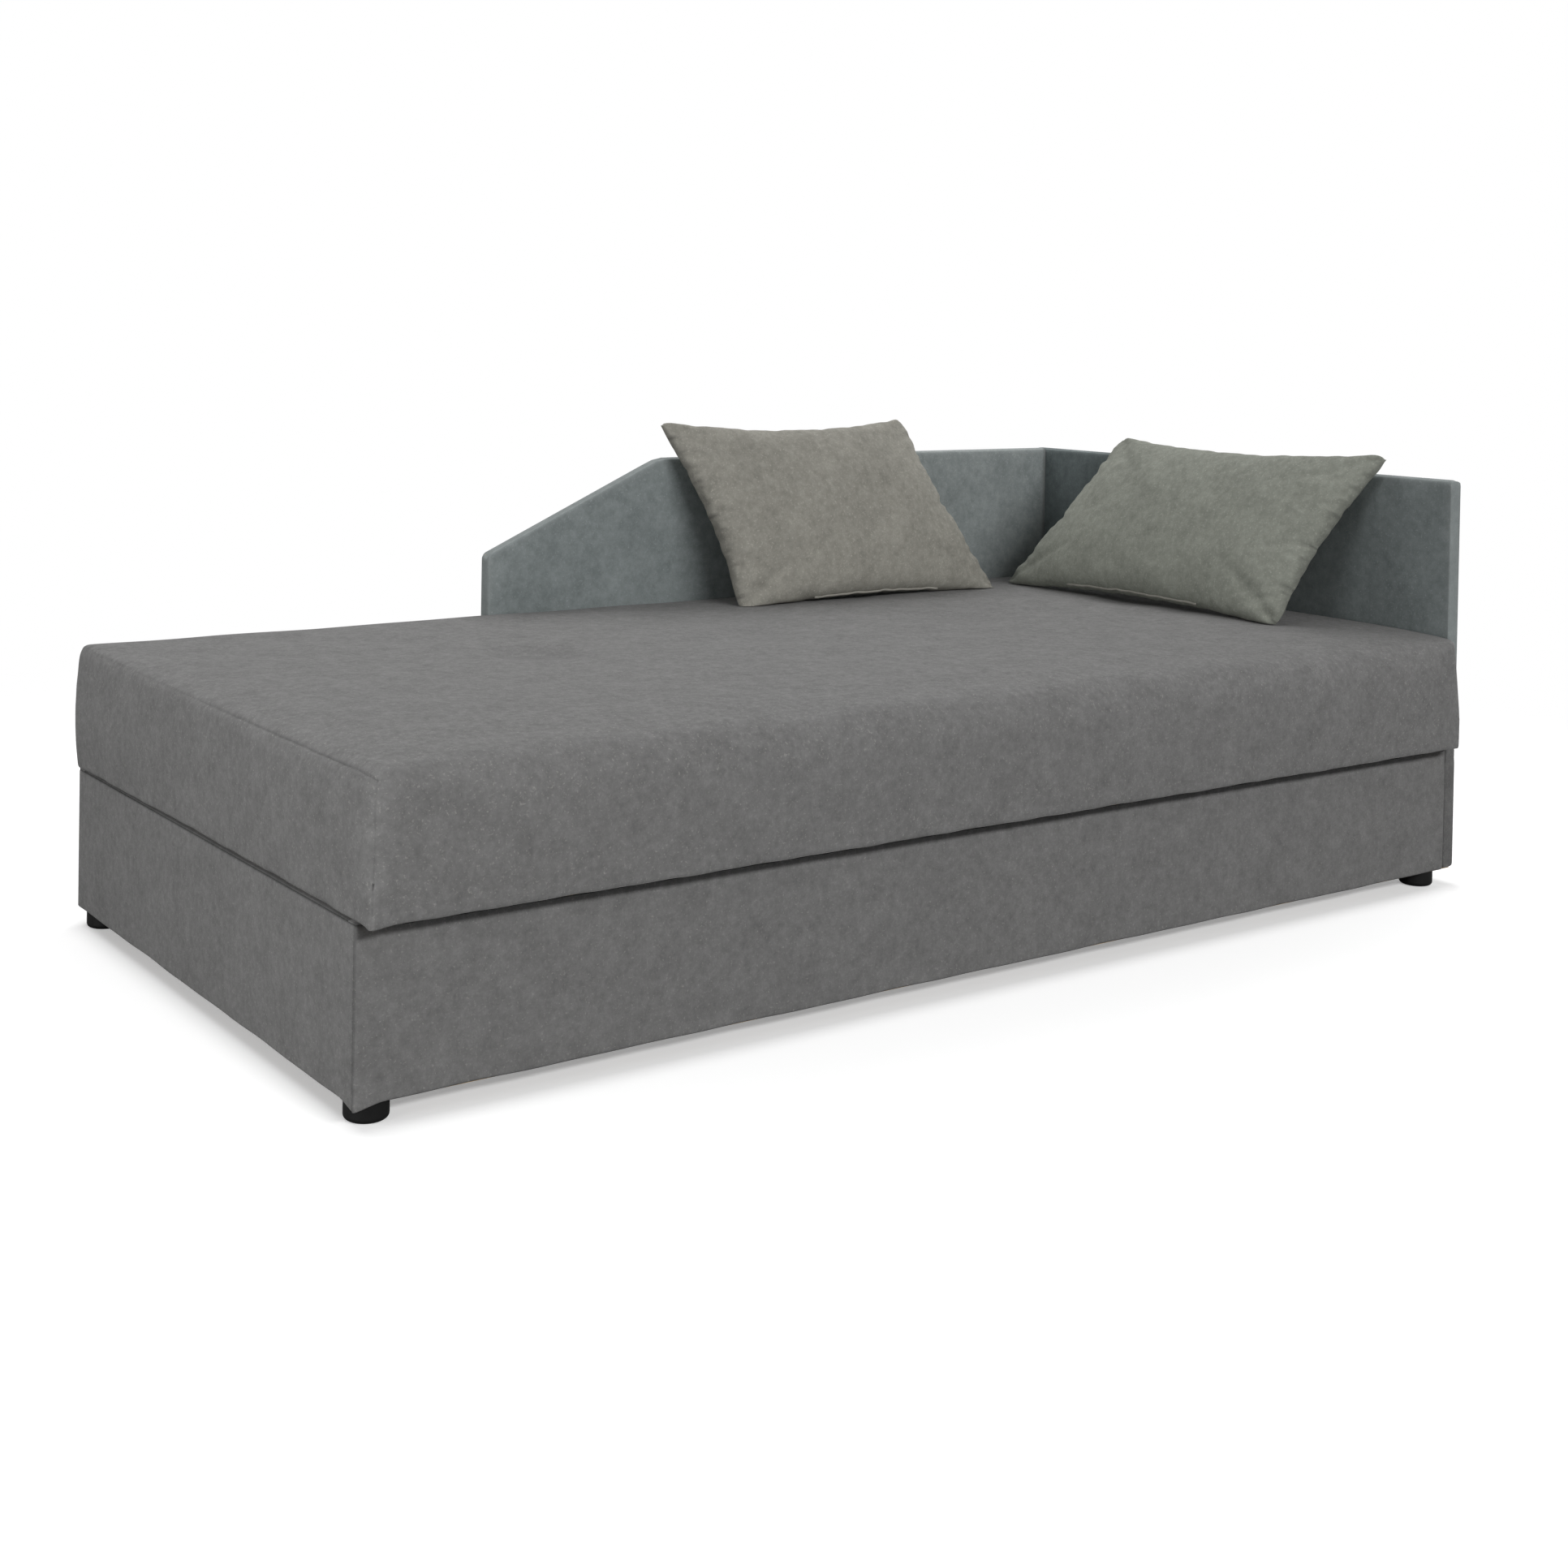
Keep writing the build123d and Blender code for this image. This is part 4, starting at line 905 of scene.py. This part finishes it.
def make_spring(node, label):
    """Tension spring: a close helix with a shaft at each end, which rides on the box, and two round
    eyes as pieces of their own, one round the post on the box and one round the lug on the arm."""
    low, high = corners(node)
    side = np.array([1.0, 0, 0])
    post, lug = low + eye_inset, high - eye_inset
    post[0] = lug[0] = (low[0] + high[0]) / 2
    length = np.linalg.norm(lug - post)
    way = (lug - post) / length
    rise = np.cross(way, side)
    angle = np.linspace(0, 2 * np.pi * spring_turns, spring_turns * 18 + 1)[:, None]
    share = angle / angle[-1]
    ends = np.minimum(1, np.minimum(share, 1 - share) * spring_turns * 0.8 + 0.2)
    coil = post + way * (spring_hook + (length - 2 * spring_hook) * share) \
        + spring_radius * ends * (np.cos(angle) * side + np.sin(angle) * rise)
    parts = [tube(coil, way, spring_wire, spring_wire, 7)]
    for place, sign, eye, body in ((post, 1.0, "_post_eye", "bed_box"),
                                   (lug, -1.0, "_lug_eye", "rear_arms")):
        turn = np.linspace(0.03 * np.pi, 1.97 * np.pi, 28)[:, None]
        loop = place + eye_radius * (sign * np.cos(turn) * way + np.sin(turn) * rise)
        shaft = place + sign * way * np.linspace(0.0075, spring_hook + 0.002, 8)[:, None]
        parts.append(tube(shaft, side, spring_wire, spring_wire, 8))
        ring = tube(loop, side, spring_wire, spring_wire, 8)
        new_piece(label + eye, *ring, body, "spring_steel")
    starts = np.cumsum([0] + [len(points) for points, _ in parts])
    faces = [face + start for start, (_, part) in zip(starts, parts) for face in part]
    points = np.concatenate([points for points, _ in parts])
    piece = new_piece(label, points, faces, "bed_box", "spring_steel")
    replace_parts(piece, node)
    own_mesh(piece)


def make_lining():
    """Lining stretched under the lid: a thin slab that sags between the rails as the square of a
    sine both ways."""
    low, high = corners("lid_lining")
    high[2] -= 0.0002
    spot, faces, _ = block_grid(low, high, ((0.03,), (0.03,), (1.0,)))
    bays, rail_width = 4, 0.07
    share = (spot[:, 0] - low[0]) / (high[0] - low[0]) * bays
    deep = (spot[:, 1] - low[1] - rail_width) / (high[1] - low[1] - 2 * rail_width)
    sag = np.sin(np.pi * share) ** 2 * np.sin(np.pi * np.clip(deep, 0, 1)) ** 2
    spot[:, 2] -= 0.004 * sag
    piece = new_piece("lid_lining_cloth", spot, [faces], "lid", "lining_cloth")
    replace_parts(piece, "lid_lining")


make_mattress()
make_foam()
for side, thin, outward in (("front", 1, -1), ("foot", 0, -1), ("rear", 1, 1)):
    node, board = f"box_{side}_cover", f"box_{side}_panel"
    make_box_cover(f"box_{side}_fabric", node, thin, outward)
    make_turnover(f"box_{side}_turnover", node, board, thin, outward, 0.0022 if thin else -0.002)
# Each pair gives the painted shade at the low and the high end of a panel.
for side, thin, sloped, shade_and_tint in (("head", 0, False, (0.38, 0.94)), ("back", 1, True, (0.35, 0.0))):
    node, name = side + "_panel_cover", side + "_panel_"
    low, high = corners(node)
    pad = make_panel(name + "pad", node, thin, box_top, high[2], "panel_velvet", sloped, shade_and_tint)
    make_panel(name + "band", node, thin, low[2], box_top, "grey_fabric", False, shade_and_tint)
    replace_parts(pad, node)
make_cushion("back_cushion", (0.422, 0.354, 0.4211), rearward=(0, 1, 0), lean=21.5,
             widths=(0.295, 0.2725), slip=-0.118, height=0.345, seed=31, shade_and_tint=0.0)
make_cushion("head_cushion", (0.799, 0.062, 0.4276), rearward=(1, 0, 0), lean=31.4,
             widths=(0.3255, 0.3035), slip=0.112, height=0.332, seed=41, shade_and_tint=1.0)
for end in ("foot", "head"):
    make_spring("lift_spring_" + end, "lift_coil_" + end)
make_lining()


# Floor, light and camera

def make_floor(half=30.0, shade=(1.0, 0.48, 0.0)):
    """White floor: matt where light falls on it, with a glow for the camera that is weak under the
    box and near it as a painted shadow, and even beyond, so that only the shadow shows, and clear
    far off."""
    mesh = bpy.data.meshes.new("floor")
    mesh.from_pydata([(-half, -half, 0), (half, -half, 0), (half, half, 0), (-half, half, 0)], [],
                     [(0, 1, 2, 3)])
    floor = bpy.data.objects.new("floor", mesh)
    scene.collection.objects.link(floor)
    material = bpy.data.materials.new("floor")
    material.use_nodes = True
    material.node_tree.nodes.clear()
    tree = Tree(material.node_tree)
    seen = tree.add("LightPath").outputs["Is Camera Ray"]
    spot = tree.add("TexCoord").outputs["Object"]
    aside = tree.vector("SUBTRACT", tree.vector("ABSOLUTE", spot)[0], shade)[0]
    gap = tree.vector("LENGTH", tree.vector("MAXIMUM", aside)[0])["Value"]
    # Painted shadow: the glow is weaker under and near the box's footprint.
    near = tree.spread(gap, -0.03, 0.05, 0.2, 0.57, ease="SMOOTHSTEP")
    matt = tree.add("BsdfDiffuse", {"Color": tree.mix(seen, 0.2, 0.81)})
    strength = tree.math("MULTIPLY", seen, near)
    glow = tree.add("Emission", {"Color": 1.0, "Strength": strength})
    both = tree.add("AddShader", {0: matt.outputs[0], 1: glow.outputs[0]})
    far = tree.spread(tree.vector("LENGTH", spot)["Value"], 1.5, 2.6, ease="SMOOTHSTEP")
    clear = tree.add("BsdfTransparent")
    whole = tree.add("MixShader", {0: far, 1: both.outputs[0], 2: clear.outputs[0]})
    tree.add("OutputMaterial", {"Surface": whole.outputs[0]})
    mesh.materials.append(material)


def make_world(ambient):
    """Even sky: ambient strength for lighting, plain white where the camera or a mirror sees it."""
    world = scene.world = bpy.data.worlds.new("world")
    world.use_nodes = True
    world.node_tree.nodes.clear()
    tree = Tree(world.node_tree)
    path = tree.add("LightPath").outputs
    seen = tree.math("MAXIMUM", path["Is Camera Ray"], path["Is Glossy Ray"])
    seen = tree.math("MAXIMUM", seen, path["Is Transmission Ray"])
    strength = tree.spread(seen, 0.0, 1.0, ambient, 1.0)
    sky = tree.add("Background", {"Color": 1.0, "Strength": strength})
    tree.add("OutputWorld", {"Surface": sky.outputs[0]})


def add_lamp(name, place, target, wide, tall, power):
    """Area lamp of a given width and height at a place, turned to its target."""
    data = bpy.data.lights.new(name, "AREA")
    data.shape, data.size, data.size_y, data.energy = "RECTANGLE", wide, tall, power
    lamp = bpy.data.objects.new(name, data)
    lamp.location = place
    lamp.rotation_euler = (Vector(target) - Vector(place)).to_track_quat("-Z", "Y").to_euler()
    scene.collection.objects.link(lamp)


def make_camera(place, yaw, pitch, roll):
    """Camera at the photo's place: turned by yaw, pitch and roll, long lens with a lens shift."""
    forward = Vector((math.sin(yaw) * math.cos(pitch), math.cos(yaw) * math.cos(pitch),
                      -math.sin(pitch)))
    right = Vector((math.cos(yaw), -math.sin(yaw), 0))
    up = right.cross(forward)
    side = math.cos(roll) * right + math.sin(roll) * up
    head = math.cos(roll) * up - math.sin(roll) * right
    data = bpy.data.cameras.new("camera")
    data.lens, data.sensor_width, data.clip_end = 47.624, 36, 200
    data.shift_x, data.shift_y = 0.04211, -0.26724
    camera = bpy.data.objects.new("camera", data)
    turn = Matrix((side, head, -forward)).transposed().to_4x4()
    camera.matrix_world = Matrix.Translation(place) @ turn
    scene.collection.objects.link(camera)
    scene.camera = camera


make_floor()
make_world(0.1)
for lamp in (("rear_left", (-1.5, 2.2, 3.2), (-0.2, 0, 0.4), 2.5, 2.5, 36),
             ("rear_right", (1.5, 1.8, 3.4), (0, 0, 0.3), 2.5, 2.5, 52),
             ("front", (0.3, -7.5, 4.2), (0.1, 0, 0.35), 6.0, 1.0, 430),
             ("front_left", (-2.4, -3.6, 1.4), (0, 0, 0.3), 2.5, 1.0, 9),
             ("head_fill", (3.6, 0.4, 1.1), (1.0, 0.1, 0.3), 1.6, 1.6, 34),
             ("foot_fill", (-3.2, -0.6, 0.7), (-1.0, -0.1, 0.3), 1.6, 1.6, 32)):
    add_lamp(*lamp)
make_camera((-2.028856, -2.621382, 0.916372), yaw=0.612132, pitch=0.0170673, roll=0.0170360)
scene.view_settings.view_transform = "Standard"
